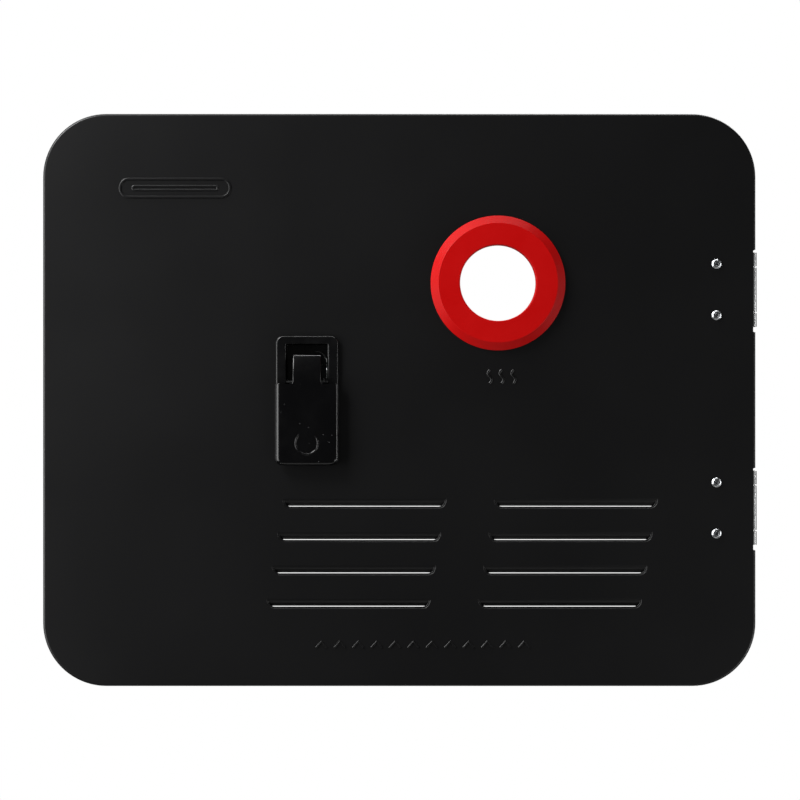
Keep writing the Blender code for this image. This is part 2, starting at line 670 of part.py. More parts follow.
def bolt_spring_points():
    low = GUIDE_BOTTOM + GUIDE_SHEET + GAP + BOLT_SPRING_WIRE
    high = BOLT_BOTTOM - GAP - BOLT_SPRING_WIRE
    middle_y = (BOLT_FRONT + BOLT_BACK) / 2
    steps = BOLT_SPRING_TURNS * 12
    points = []
    for step in range(steps + 1):
        angle = math.tau * step / 12
        points.append(Vector((LATCH_X + BOLT_SPRING_RADIUS * math.cos(angle),
                              middle_y + BOLT_SPRING_RADIUS * math.sin(angle),
                              low + (high - low) * step / steps)))
    return points


# ---- hinges ----

def knuckle(z0, z1):
    return rod("Z", (AXIS_X, AXIS_Y), KNUCKLE_RADIUS, z0, z1, 20)


def pin_bore(z):
    return rod("Z", (AXIS_X, AXIS_Y), HINGE_PIN_RADIUS + GAP / 3,
               z - HINGE_LENGTH, z + HINGE_LENGTH, 20)


def door_leaf_mesh(z):
    """Leaf under the pan's face, with the two end knuckles."""
    half = HINGE_LENGTH / 2
    front = DOOR_LEAF_FRONT
    back = front + LEAF_SHEET
    leaf = box((AXIS_X - DOOR_LEAF_REACH, front, z - half), (AXIS_X, back, z + half))
    notch_half = half - END_KNUCKLE
    notch = box((AXIS_X - KNUCKLE_RADIUS - 2 * GAP, front - SHEET, z - notch_half),
                (AXIS_X + 2 * KNUCKLE_RADIUS, back + 3 * KNUCKLE_RADIUS, z + notch_half))
    holes = [rod("Y", (RIVET_X, z + side * LEAF_HOLE_PITCH / 2), RIVET_SHANK_RADIUS + GAP,
                 front - SHEET, back + SHEET) for side in (-1, 1)]
    body = join(leaf, knuckle(z - half, z + half))
    return cut(body, notch, combine(holes), pin_bore(z))


def wall_leaf_mesh(z):
    """Leaf with the middle knuckle, bent round behind the door to lie on the wall."""
    half = HINGE_LENGTH / 2
    neck_half = MIDDLE_KNUCKLE / 2
    outer = WALL_LEAF_OUTER_X - SKIN
    inner = outer - LEAF_SHEET
    neck = box((inner, AXIS_Y, z - neck_half), (outer, WALL_Y - LEAF_SHEET / 2, z + neck_half))
    far = WALL_LEAF_OUTER_X - WALL_LEAF_REACH
    plate = box((far, WALL_LEAF_FRONT, z - half), (outer, WALL_Y, z + half))
    holes = [rod("Y", (WALL_LEAF_X, z + side * LEAF_HOLE_PITCH / 2), WALL_HOLE_RADIUS,
                 WALL_LEAF_FRONT - SHEET, WALL_Y + SHEET) for side in (-1, 1)]
    body = join(plate, neck, knuckle(z - neck_half, z + neck_half))
    return cut(body, combine(holes), pin_bore(z))


def hinge_pin_mesh(z):
    half = HINGE_LENGTH / 2
    return rod("Z", (AXIS_X, AXIS_Y), HINGE_PIN_RADIUS, z - half, z + half, 16)


def rivet_mesh(place):
    """Blind rivet: low dome outside, open mandrel hole, and the set tail behind the leaf."""
    seat = -GAP
    top = seat - RIVET_HEAD_HEIGHT
    leaf_back = DOOR_LEAF_FRONT + LEAF_SHEET + GAP
    profile = [(0.5 * RIVET_MANDREL_RADIUS, top + 1.2 * RIVET_HEAD_HEIGHT),
               (RIVET_MANDREL_RADIUS, top + 0.5 * RIVET_HEAD_HEIGHT),
               (RIVET_MANDREL_RADIUS, top), (0.6 * RIVET_HEAD_RADIUS, top + 0.1 * RIVET_HEAD_HEIGHT),
               (0.9 * RIVET_HEAD_RADIUS, top + 0.5 * RIVET_HEAD_HEIGHT),
               (RIVET_HEAD_RADIUS, top + 0.85 * RIVET_HEAD_HEIGHT), (RIVET_HEAD_RADIUS, seat),
               (RIVET_SHANK_RADIUS, seat), (RIVET_SHANK_RADIUS, leaf_back),
               (RIVET_TAIL_RADIUS, leaf_back + 0.3 * RIVET_TAIL_LENGTH),
               (RIVET_TAIL_RADIUS, leaf_back + 0.7 * RIVET_TAIL_LENGTH),
               (0.4 * RIVET_TAIL_RADIUS, leaf_back + RIVET_TAIL_LENGTH)]
    return turned("Y", place, profile, 18)


def build():
    clear_scene()
    coating = make_material("black powder coat", (0.012, 0.012, 0.013), 0.45)
    plastic = make_material("black moulded nylon", (0.008, 0.008, 0.009), 0.3)
    red = make_material("red moulded silicone", (0.49, 0.006, 0.006), 0.4)
    foam = make_material("black foam rubber", (0.02, 0.02, 0.02), 0.9)
    zinc = make_material("zinc-plated steel", (0.55, 0.56, 0.58), 0.35, 1.0)
    bare = make_material("stainless steel", (0.62, 0.62, 0.62), 0.28, 1.0)
    aluminium = make_material("aluminium rivet", (0.72, 0.72, 0.73), 0.35, 1.0)

    wall = add_pivot("wall_side", ORIGIN)
    door = add_pivot("hinge_axis", (AXIS_X, AXIS_Y, 0.0), wall)
    lever = add_pivot("lever_axis", (LATCH_X, PIVOT_Y, PIVOT_Z), door)
    bolt = add_pivot("bolt_slide", (LATCH_X, (BOLT_FRONT + BOLT_BACK) / 2, BOLT_BOTTOM), door)

    add_part("door_panel", door_panel_mesh(), coating, door)
    add_part("perimeter_seal", seal_mesh(), foam, door)
    add_part("exhaust_ring", exhaust_ring_mesh(), red, door)
    add_part("exhaust_ring_retainer", ring_retainer_mesh(), zinc, door)

    add_part("latch_base", latch_base_mesh(), plastic, door)
    add_part("latch_clamp_plate", clamp_plate_mesh(), zinc, door)
    clamp_back = SHEET + GAP + CLAMP_SHEET + GAP
    corners = ("lower_left", "lower_right", "upper_left", "upper_right")
    by_height = sorted(latch_screw_places(), key=lambda place: (place[1], place[0]))
    for corner, place in zip(corners, by_height):
        tip = -BEZEL_PROUD + BEZEL_SKIN + GAP
        add_part(f"latch_screw_{corner}", screw_mesh(place, clamp_back, tip), zinc, door)
    add_part("latch_bolt_guide", guide_mesh(), zinc, door)
    for side, place in zip(("left", "right"), guide_screw_places()):
        seat = GUIDE_FRONT + GUIDE_SHEET + GAP
        tip = TUB_BACK - GUIDE_SCREW_DEPTH + GAP
        add_part(f"guide_screw_{side}", screw_mesh(place, seat, tip), zinc, door)
    add_part("latch_pivot_pin", pivot_pin_mesh(), bare, door)
    add_part("lever_torsion_spring", tube_mesh(lever_spring_points(), LEVER_SPRING_WIRE), bare, door)
    add_part("bolt_compression_spring", tube_mesh(bolt_spring_points(), BOLT_SPRING_WIRE), bare, door)
    add_part("latch_lever", lever_mesh(), plastic, lever)
    add_part("latch_bolt", bolt_mesh(), zinc, bolt)

    for hinge, z in HINGE_Z.items():
        add_part(f"{hinge}_door_leaf", door_leaf_mesh(z), bare, door)
        add_part(f"{hinge}_wall_leaf", wall_leaf_mesh(z), bare, wall)
        add_part(f"{hinge}_hinge_pin", hinge_pin_mesh(z), bare, wall)
    for name, place in rivet_places().items():
        add_part(name, rivet_mesh(place), aluminium, door)


build()
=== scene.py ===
"""Finished look of a vented water heater door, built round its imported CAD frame."""
import math

import bmesh
import bpy
from mathutils import Matrix, Vector


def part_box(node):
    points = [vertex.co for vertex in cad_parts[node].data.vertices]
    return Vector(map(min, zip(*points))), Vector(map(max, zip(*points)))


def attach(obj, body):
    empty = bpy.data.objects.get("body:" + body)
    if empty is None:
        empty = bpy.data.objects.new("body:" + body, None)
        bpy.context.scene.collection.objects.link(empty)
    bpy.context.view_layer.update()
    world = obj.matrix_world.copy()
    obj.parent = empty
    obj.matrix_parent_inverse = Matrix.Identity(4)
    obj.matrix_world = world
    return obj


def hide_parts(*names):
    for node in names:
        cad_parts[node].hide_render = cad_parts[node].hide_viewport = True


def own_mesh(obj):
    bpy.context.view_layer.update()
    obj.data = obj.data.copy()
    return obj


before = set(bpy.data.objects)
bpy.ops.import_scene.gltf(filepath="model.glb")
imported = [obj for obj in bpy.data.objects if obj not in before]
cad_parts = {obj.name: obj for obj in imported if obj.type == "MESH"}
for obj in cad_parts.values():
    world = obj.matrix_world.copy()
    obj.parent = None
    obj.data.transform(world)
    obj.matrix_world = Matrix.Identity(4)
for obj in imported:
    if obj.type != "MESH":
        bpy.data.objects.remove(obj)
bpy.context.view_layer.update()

MM = 0.001

# ---- places taken from the frame; X and Z run from the middle of the door's face ----
panel_low, panel_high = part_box("door_panel")
CENTRE = Vector(((panel_low.x + panel_high.x) / 2, panel_low.y, (panel_low.z + panel_high.z) / 2))
PANEL_WIDTH = panel_high.x - panel_low.x
PANEL_HEIGHT = panel_high.z - panel_low.z
FLANGE_DEPTH = panel_high.y - panel_low.y
EDGE_X = PANEL_WIDTH / 2


def node_box(node):
    """Lowest and highest corner of a CAD node, counted from the middle of the door's face."""
    low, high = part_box(node)
    return low - CENTRE, high - CENTRE


def middle_of(node):
    """(x, z) of the middle of a CAD node."""
    low, high = node_box(node)
    return (low.x + high.x) / 2, (low.z + high.z) / 2


SHEET = 1.0 * MM
SKIN = 0.02 * MM                # keeps the faces of two tools off one plane
PANEL_CORNER = 42.6 * MM
PANEL_BEND = 1.6 * MM

ring_low, ring_high = node_box("exhaust_ring")
PORT = ((ring_low.x + ring_high.x) / 2, (ring_low.z + ring_high.z) / 2)
RING_OUTER = ring_high.x - ring_low.x
RING_FACE = 80.3 * MM
PORT_BORE = 51.2 * MM
NECK_WALL = 4.0 * MM

LOUVRE_LENGTH = 110.6 * MM
LOUVRE_HEIGHT = 7.6 * MM
LOUVRE_CORNER = 5.5 * MM
LOUVRE_DEPTH = 3.6 * MM
LOUVRE_LAND = 0.45 * MM
LOUVRE_FIRST = (-23.45 * MM, -65.7 * MM)
LOUVRE_DOWN = (-3.59 * MM, 0.0, -22.47 * MM)
LOUVRE_ACROSS = (142.4 * MM, 0.0, 0.0)

base_low, base_high = node_box("latch_base")
lever_low, lever_high = node_box("latch_lever")
pin_low, pin_high = node_box("latch_pivot_pin")
LATCH_X = (base_low.x + base_high.x) / 2
PIVOT = ((pin_low.y + pin_high.y) / 2, (pin_low.z + pin_high.z) / 2)
RECESS_WIDTH = 28.2 * MM
RECESS_TOP = 37.7 * MM
RECESS_BOTTOM = -2.0 * MM
RECESS_DEPTH = 13 * MM
PADDLE_TOP = 10.9 * MM
PADDLE_WIDTH = lever_high.x - lever_low.x
TONGUE_WIDTH = 19.2 * MM

HINGE_Z = {}
for hinge in ("upper", "lower"):
    pin_bottom, pin_top = node_box(f"{hinge}_hinge_pin")
    HINGE_Z[hinge] = (pin_bottom.z + pin_top.z) / 2
AXIS = ((pin_bottom.x + pin_top.x) / 2, (pin_bottom.y + pin_top.y) / 2)
HINGE_LENGTH = pin_top.z - pin_bottom.z

SCREW_HOLE = 1.6 * MM
TAIL_SLOT = 4.2 * MM            # half the width of the slots that the lever's tail runs in
TUB_OPENING = (-18.0 * MM, 39.4 * MM)
STRIP = 1.2 * MM                # thickness of the guide and of the hinge leaves
LEAF_HOLES = 34.5 * MM          # from hole to hole on a leaf
RIVET_X = 213.7 * MM
LATCH_SCREWS = [f"latch_screw_{height}_{side}" for height in ("lower", "upper")
                for side in ("left", "right")]
GUIDE_SCREWS = ["guide_screw_left", "guide_screw_right"]
RIVETS = [f"{hinge}_rivet_{end}" for hinge in HINGE_Z for end in ("top", "bottom")]


# ---- colours and material nodes ----

def linear(hex_colour):
    """sRGB hex to a linear colour with alpha."""
    values = [int(hex_colour[start:start + 2], 16) / 255 for start in (1, 3, 5)]
    flat = [v / 12.92 if v <= 0.04045 else ((v + 0.055) / 1.055) ** 2.4 for v in values]
    return (*flat, 1.0)


def add(tree, kind, values=None, links=None, **settings):
    """One node with its settings, its socket values and its incoming links."""
    node = tree.nodes.new(kind)
    for key, value in settings.items():
        setattr(node, key, value)
    for socket, value in (values or {}).items():
        node.inputs[socket].default_value = value
    for socket, source in (links or {}).items():
        tree.links.new(source, node.inputs[socket])
    return node


def per_mm(size):
    """Texture scale whose pattern repeats about every so many millimetres."""
    return 1.0 / (size * MM)


def start_material(name, colour, roughness, **sockets):
    material = bpy.data.materials.new(name)
    material.use_nodes = True
    tree = material.node_tree
    shader = tree.nodes["Principled BSDF"]
    shader.inputs["Base Color"].default_value = linear(colour)
    shader.inputs["Roughness"].default_value = roughness
    for socket, value in sockets.items():
        shader.inputs[socket.replace("_", " ")].default_value = value
    place = add(tree, "ShaderNodeTexCoord").outputs["Object"]
    return material, tree, shader, place


def noise(tree, place, size, detail):
    """Cloudy pattern of about so many millimetres, as a factor."""
    node = add(tree, "ShaderNodeTexNoise", {"Scale": per_mm(size), "Detail": detail},
               {"Vector": place})
    return node.outputs["Fac"]


def cells(tree, place, size):
    """Distance from the middles of cells of about so many millimetres."""
    node = add(tree, "ShaderNodeTexVoronoi", {"Scale": per_mm(size)}, {"Vector": place})
    return node.outputs["Distance"]


def grain(tree, place, detail, **mapping):
    """Fine pattern drawn out along one way."""
    stretch = add(tree, "ShaderNodeMapping", mapping, {"Vector": place})
    node = add(tree, "ShaderNodeTexNoise", {"Scale": 1.0, "Detail": detail},
               {"Vector": stretch.outputs["Vector"]})
    return node.outputs["Fac"]


def colour_range(tree, shader, factor, dark, light, low=0.3, high=0.7):
    """Base colour that runs between two hex colours with a pattern."""
    ramp = add(tree, "ShaderNodeValToRGB", links={"Fac": factor})
    for stop, place, colour in zip(ramp.color_ramp.elements, (low, high), (dark, light)):
        stop.position = place
        stop.color = linear(colour)
    tree.links.new(ramp.outputs["Color"], shader.inputs["Base Color"])


def rough_range(tree, shader, factor, low, high):
    """Roughness that runs between two values with a pattern."""
    spread = add(tree, "ShaderNodeMapRange", {"From Min": 0.3, "From Max": 0.7,
                                              "To Min": low, "To Max": high},
                 {"Value": factor})
    tree.links.new(spread.outputs["Result"], shader.inputs["Roughness"])


def relief(tree, shader, *layers):
    """Stacked bump layers: (height socket, depth in millimetres, strength)."""
    before = None
    for height, depth, strength in layers:
        bump = add(tree, "ShaderNodeBump", {"Strength": strength, "Distance": depth * MM},
                   {"Height": height})
        if before:
            tree.links.new(before.outputs["Normal"], bump.inputs["Normal"])
        before = bump
    tree.links.new(before.outputs["Normal"], shader.inputs["Normal"])


def powder_coat():
    """Satin black polyester powder coat on steel: faint orange peel breaks up its broad sheen."""
    material, tree, shader, place = start_material("satin black powder coat", "#080809", 0.38)
    peel = noise(tree, place, 2.6, 2.0)
    grit = noise(tree, place, 0.7, 1.0)
    cloud = noise(tree, place, 90, 3.0)
    colour_range(tree, shader, cloud, "#070708", "#09090a")
    rough_range(tree, shader, cloud, 0.37, 0.39)
    relief(tree, shader, (peel, 0.03, 0.35), (grit, 0.01, 0.2))
    return material


def satin_nylon():
    """Spark-textured black nylon moulding: an even, slightly dusty satin."""
    material, tree, shader, place = start_material("satin black moulded nylon", "#050506", 0.26)
    spark = cells(tree, place, 0.6)
    cloud = noise(tree, place, 9, 4.0)
    colour_range(tree, shader, cloud, "#040405", "#070708")
    rough_range(tree, shader, cloud, 0.24, 0.32)
    relief(tree, shader, (spark, 0.02, 0.25))
    return material


def gloss_nylon():
    """Polished black nylon that hands have used: clear gloss, hair scratches and small pale grey specks
    painted into its colour, each raised a little.
    """
    material, tree, shader, place = start_material("glossy black moulded nylon", "#040405", 0.2)
    smear = noise(tree, place, 14, 5.0)
    rough_range(tree, shader, smear, 0.14, 0.26)
    hair = grain(tree, place, 2.0, Rotation=(0.0, math.radians(25), 0.0),
                 Scale=(per_mm(0.7), per_mm(4), per_mm(16)))
    # Small pale grey specks painted into the base colour, each with a slight raised bump
    specks = cells(tree, place, 4.5)
    pale_specks = add(tree, "ShaderNodeMapRange", {"From Min": 0.03, "From Max": 0.05,
                                            "To Min": 1.0, "To Max": 0.0},
               {"Value": specks})
    colour_range(tree, shader, pale_specks.outputs["Result"], "#040405", "#8d8d90", 0.0, 1.0)
    relief(tree, shader, (hair, 0.015, 0.3), (pale_specks.outputs["Result"], 0.05, 0.4))
    return material


def red_silicone():
    """Heat-proof red silicone rubber: dense colour with a soft, faintly mottled sheen."""
    material, tree, shader, place = start_material("satin red moulded silicone", "#c80808", 0.40,
                                                  Specular_IOR_Level=0.18)
    cloud = noise(tree, place, 16, 4.0)
    colour_range(tree, shader, cloud, "#c60707", "#ca0909")
    rough_range(tree, shader, cloud, 0.37, 0.43)
    skin = noise(tree, place, 0.8, 2.0)
    relief(tree, shader, (skin, 0.02, 0.2))
    return material


def foam_rubber():
    """Closed-cell EPDM foam: dull charcoal skin pitted with small cells, with painted shade darkening the
    bottom of each pit.
    """
    material, tree, shader, place = start_material("black foam rubber", "#1d1d1e", 0.92)
    pits = cells(tree, place, 1.1)
    # Painted shade: the colour runs darker towards the bottom of each pit, in the same cells that the
    # bump sinks
    colour_range(tree, shader, pits, "#161617", "#29292a", 0.1, 0.6)
    relief(tree, shader, (pits, 0.15, 0.6))
    return material


def zinc_plate():
    """Bright zinc plate on pressed steel: cool even grey with a little cloudy bloom."""
    material, tree, shader, place = start_material("zinc-plated steel", "#b9bdc2", 0.34,
                                                   Metallic=1.0)
    cloud = noise(tree, place, 7, 6.0)
    colour_range(tree, shader, cloud, "#a5aab0", "#c6cacd")
    rough_range(tree, shader, cloud, 0.30, 0.38)
    relief(tree, shader, (cloud, 0.01, 0.25))
    return material


def drawn_stainless(name, colour, rough_low, rough_high, line_size):
    """Cold-rolled stainless: fine drawn lines along one way blur its reflections."""
    material, tree, shader, place = start_material(name, colour, rough_low, Metallic=1.0)
    lines = grain(tree, place, 3.0, Scale=line_size)
    rough_range(tree, shader, lines, rough_low, rough_high)
    relief(tree, shader, (lines, 0.006, 0.3))
    return material


def rivet_aluminium():
    """Bare aluminium head squeezed by the setting tool: bright, with tool marks."""
    material, tree, shader, place = start_material("set aluminium rivet", "#c9cbcd", 0.28,
                                                   Metallic=1.0)
    marks = noise(tree, place, 1.2, 4.0)
    colour_range(tree, shader, marks, "#aeb1b4", "#dcdee0")
    rough_range(tree, shader, marks, 0.2, 0.4)
    relief(tree, shader, (marks, 0.02, 0.3))
    return material


# ---- outlines: lists of (x, z), turning anticlockwise as seen from the front ----

def arc(centre, radius, start, sweep, steps):
    return [(centre[0] + radius * math.cos(math.radians(start + sweep * step / steps)),
             centre[1] + radius * math.sin(math.radians(start + sweep * step / steps)))
            for step in range(steps + 1)]


def rounded_box(width, height, radius, inset=0.0, centre=(0.0, 0.0), steps=10):
    """Rectangle with round corners; the inset shrinks it evenly."""
    radius = max(radius - inset, 0.05 * MM)
    reach_x = width / 2 - inset - radius
    reach_z = height / 2 - inset - radius
    points = []
    for quarter, (side_x, side_z) in enumerate(((1, 1), (-1, 1), (-1, -1), (1, -1))):
        corner = (centre[0] + side_x * reach_x, centre[1] + side_z * reach_z)
        points += arc(corner, radius, 90 * quarter, 90, steps)
    return points


def box_between(left, right, bottom, top, radius, inset=0.0, steps=10):
    return rounded_box(right - left, top - bottom, radius, inset,
                       ((left + right) / 2, (bottom + top) / 2), steps)


def quarter(radius, step=15):
    """(across, down) offsets round the quarter turn of an edge, from its side to its face."""
    turns = [math.radians(turn) for turn in range(0, 91, step)]
    return [(radius * (1 - math.cos(turn)), radius * (1 - math.sin(turn))) for turn in turns]


def at_depth(outline, y):
    return [Vector((x, y, z)) for x, z in outline]


def filleted(corners, steps=5):
    """Closed 2-D outline from (a, b, radius) corners, each turned into an arc that touches both sides."""
    points = []
    count = len(corners)
    for index, (a, b, radius) in enumerate(corners):
        here = Vector((a, b))
        if radius == 0.0:
            points.append((a, b))
            continue
        to_last = (Vector(corners[index - 1][:2]) - here).normalized()
        to_next = (Vector(corners[(index + 1) % count][:2]) - here).normalized()
        half = to_last.angle(to_next) / 2
        reach = radius / math.tan(half)
        middle = here + (to_last + to_next).normalized() * (radius / math.sin(half))
        first = here + to_last * reach - middle
        last = here + to_next * reach - middle
        turn = first.angle_signed(last)
        for step in range(steps + 1):
            points.append(tuple(middle + Matrix.Rotation(-turn * step / steps, 2) @ first))
    return points


# ---- solids ----

def loft(loops, ring=False):
    """Closed mesh through loops of points: capped at both ends, or end to end as a ring."""
    bm = bmesh.new()
    rows = [[bm.verts.new(point) for point in loop] for loop in loops]
    pairs = list(zip(rows, rows[1:]))
    if ring:
        pairs.append((rows[-1], rows[0]))
    else:
        bm.faces.new(rows[0])
        bm.faces.new(rows[-1])
    count = len(rows[0])
    for first, second in pairs:
        for here in range(count):
            after = (here + 1) % count
            bm.faces.new((first[here], first[after], second[after], second[here]))
    bmesh.ops.remove_doubles(bm, verts=bm.verts, dist=0.0005 * MM)
    bmesh.ops.recalc_face_normals(bm, faces=bm.faces)
    return to_mesh(bm)


def to_mesh(bm):
    mesh = bpy.data.meshes.new("solid")
    bm.to_mesh(mesh)
    bm.free()
    return mesh


def block(low, high):
    outline = [(low[0], low[2]), (high[0], low[2]), (high[0], high[2]), (low[0], high[2])]
    return loft([at_depth(outline, low[1]), at_depth(outline, high[1])])


def turned(axis, centre, profile, segments=48, ring=False):
    """Round solid from (radius, place along the axis) pairs; centre gives its two other coordinates."""
    loops = []
    for radius, along in profile:
        loop = []
        for step in range(segments):
            angle = math.tau * step / segments
            first = centre[0] + radius * math.cos(angle)
            second = centre[1] + radius * math.sin(angle)
            loop.append(Vector({"X": (along, first, second),
                                "Y": (first, along, second),
                                "Z": (first, second, along)}[axis]))
        loops.append(loop)
    return loft(loops, ring)


def rod(axis, centre, radius, start, end, edge=0.0, segments=32):
    """Round bar; the edge rounds both of its ends."""
    if edge == 0.0:
        return turned(axis, centre, [(radius, start), (radius, end)], segments)
    profile = [(radius - edge + edge * math.sin(math.radians(turn)),
                start + edge - edge * math.cos(math.radians(turn))) for turn in (0, 30, 60, 90)]
    profile += [(across, start + end - along) for across, along in reversed(profile)]
    return turned(axis, centre, profile, segments)


def side_solid(view, left, right):
    """Solid with a (y, z) outline, between two places across the door."""
    return loft([[Vector((x, y, z)) for y, z in view] for x in (left, right)])


def extruded(outline, z0, z1):
    """Solid with an (x, y) outline, between two heights."""
    return loft([[Vector((x, y, z)) for x, y in outline] for z in (z0, z1)])


def wire(points, radius, sides=10):
    """Round wire along a list of points, closed at both ends."""
    loops = []
    for index, point in enumerate(points):
        before = points[max(index - 1, 0)]
        after = points[min(index + 1, len(points) - 1)]
        along = (after - before).normalized()
        across = along.orthogonal() if index == 0 else across - along * across.dot(along)
        across = across.normalized()
        third = along.cross(across)
        loops.append([point + radius * (math.cos(math.tau * side / sides) * across
                                        + math.sin(math.tau * side / sides) * third)
                      for side in range(sides)])
    return loft(loops)


def ridge(path, width, height, root, closed=False):
    """Raised bead with a rounded top along a path of (x, z), rooted in the sheet behind y 0."""
    section = [(-0.5, root), (-0.5, SKIN), (-0.38, -0.7 * height), (-0.2, -height),
               (0.2, -height), (0.38, -0.7 * height), (0.5, SKIN), (0.5, root)]
    loops = []
    count = len(path)
    for index, (x, z) in enumerate(path):
        before = path[(index - 1) % count if closed else max(index - 1, 0)]
        after = path[(index + 1) % count if closed else min(index + 1, count - 1)]
        along = Vector((after[0] - before[0], after[1] - before[1])).normalized()
        side = Vector((-along.y, along.x))
        loops.append([Vector((x + side.x * across * width, y, z + side.y * across * width))
                      for across, y in section])
    return loft(loops, ring=closed)


def combine(*meshes):
    """One mesh of several solids that stand apart."""
    bm = bmesh.new()
    for mesh in meshes:
        bm.from_mesh(mesh)
    return to_mesh(bm)


def linked(name, data):
    """New object of the scene."""
    item = bpy.data.objects.new(name, data)
    bpy.context.scene.collection.objects.link(item)
    return item


def plain(holder):
    """Mesh that an object's modifiers leave; the object itself goes."""
    bpy.context.view_layer.update()
    graph = bpy.context.evaluated_depsgraph_get()
    result = bpy.data.meshes.new_from_object(holder.evaluated_get(graph))
    holder.modifiers.clear()
    bpy.data.objects.remove(holder, do_unlink=True)
    return result


def evaluated(mesh, *modifiers):
    """Plain mesh that modifiers of the given (kind, settings) leave."""
    holder = linked("work", mesh)
    for kind, settings in modifiers:
        modifier = holder.modifiers.new(kind.lower(), kind)
        for key, value in settings.items():
            setattr(modifier, key, value)
    return plain(holder)


def boolean(base, tool, operation):
    cutter = linked("tool", tool)
    result = evaluated(base, ("BOOLEAN", {"operation": operation, "solver": "EXACT",
                                          "object": cutter}))
    bpy.data.objects.remove(cutter, do_unlink=True)
    return result


def join(base, *tools):
    for tool in tools:
        base = boolean(base, tool, "UNION")
    return base


def cut(base, *tools):
    for tool in tools:
        base = boolean(base, tool, "DIFFERENCE")
    return base


def bevelled(mesh, width, segments=2, angle=40):
    """Small round on every edge that turns sharper than the angle."""
    return evaluated(mesh, ("BEVEL", {"width": width, "segments": segments,
                                      "limit_method": "ANGLE", "angle_limit": math.radians(angle),
                                      "harden_normals": False}))


# ---- repeats, by geometry nodes ----

def node_group(name, inputs):
    """Geometry node group with named inputs and one geometry output."""
    tree = bpy.data.node_groups.new(name, "GeometryNodeTree")
    for label, kind in inputs:
        tree.interface.new_socket(label, in_out="INPUT", socket_type=kind)
    tree.interface.new_socket("Geometry", in_out="OUTPUT", socket_type="NodeSocketGeometry")
    return tree, add(tree, "NodeGroupInput").outputs


def close_group(tree, instances, given):
    """Every group ends by realising its instances and giving them their finish."""
    real = add(tree, "GeometryNodeRealizeInstances", links={"Geometry": instances})
    finish = add(tree, "GeometryNodeSetMaterial",
                 links={"Geometry": real.outputs["Geometry"], "Material": given["Finish"]})
    add(tree, "NodeGroupOutput", links={"Geometry": finish.outputs["Geometry"]})
    return tree


def rows_group():
    """Copies of a piece in slanted rows and columns, as louvres, rivets and screws are set out."""
    tree, given = node_group("slanted rows", (
        ("Geometry", "NodeSocketGeometry"), ("Across Count", "NodeSocketInt"),
        ("Across Step", "NodeSocketVector"), ("Down Count", "NodeSocketInt"),
        ("Down Step", "NodeSocketVector"), ("Finish", "NodeSocketMaterial")))
    instances = given["Geometry"]
    for way in ("Down", "Across"):
        line = add(tree, "GeometryNodeMeshLine", {"Start Location": (0.0, 0.0, 0.0)},
                   {"Count": given[f"{way} Count"], "Offset": given[f"{way} Step"]}, mode="OFFSET")
        placed = add(tree, "GeometryNodeInstanceOnPoints",
                     links={"Points": line.outputs["Mesh"], "Instance": instances})
        instances = placed.outputs["Instances"]
    return close_group(tree, instances, given)


def round_group():
    """Copies of a piece turned evenly round the Y axis, as the teeth of a push-on ring are."""
    tree, given = node_group("teeth round a ring", (
        ("Geometry", "NodeSocketGeometry"), ("Count", "NodeSocketInt"),
        ("Finish", "NodeSocketMaterial")))
    points = add(tree, "GeometryNodeMeshLine", {"Offset": (0.0, 0.0, 0.0)},
                 {"Count": given["Count"]}, mode="OFFSET")
    index = add(tree, "GeometryNodeInputIndex")
    full = add(tree, "ShaderNodeMath", {0: math.tau}, {1: given["Count"]}, operation="DIVIDE")
    turn = add(tree, "ShaderNodeMath", {}, {0: index.outputs["Index"], 1: full.outputs["Value"]},
               operation="MULTIPLY")
    spin = add(tree, "ShaderNodeCombineXYZ", {}, {"Y": turn.outputs["Value"]})
    placed = add(tree, "GeometryNodeInstanceOnPoints",
                 links={"Points": points.outputs["Mesh"], "Instance": given["Geometry"],
                        "Rotation": spin.outputs["Vector"]})
    return close_group(tree, placed.outputs["Instances"], given)


def coil_group():
    """Round wire wound in an open helix up the Z axis, as a compression spring is."""
    tree, given = node_group("wound wire", (
        ("Geometry", "NodeSocketGeometry"), ("Turns", "NodeSocketFloat"),
        ("Coil Radius", "NodeSocketFloat"), ("Wire Radius", "NodeSocketFloat"),
        ("Height", "NodeSocketFloat"), ("Finish", "NodeSocketMaterial")))
    helix = add(tree, "GeometryNodeCurveSpiral", {"Resolution": 24},
                {"Rotations": given["Turns"], "Start Radius": given["Coil Radius"],
                 "End Radius": given["Coil Radius"], "Height": given["Height"]})
    round_wire = add(tree, "GeometryNodeCurvePrimitiveCircle", {"Resolution": 10},
                     {"Radius": given["Wire Radius"]}, mode="RADIUS")
    tube = add(tree, "GeometryNodeCurveToMesh", {"Fill Caps": True},
               {"Curve": helix.outputs["Curve"], "Profile Curve": round_wire.outputs["Curve"]})
    return close_group(tree, tube.outputs["Mesh"], given)


def through_group(mesh, group, **values):
    """Plain mesh that a node group makes of a mesh, with its named inputs set."""
    holder = linked("work", mesh)
    modifier = holder.modifiers.new("repeat", "NODES")
    modifier.node_group = group
    for item in group.interface.items_tree:
        key = item.name.replace(" ", "_").lower()
        if item.in_out == "INPUT" and key in values:
            value = values[key]
            modifier[item.identifier] = finishes[value] if key == "finish" else value
    return plain(holder)


# ---- placing ----

def shaded(mesh, material, sharp=35):
    """Smooth shading up to an angle, with flat faces kept flat beside their rounds."""
    mesh.materials.clear()
    mesh.materials.append(material)
    for face in mesh.polygons:
        face.material_index = 0
    mesh.shade_smooth()
    mesh.set_sharp_from_angle(angle=math.radians(sharp))
    return evaluated(mesh, ("WEIGHTED_NORMAL", {"keep_sharp": True, "weight": 60}))


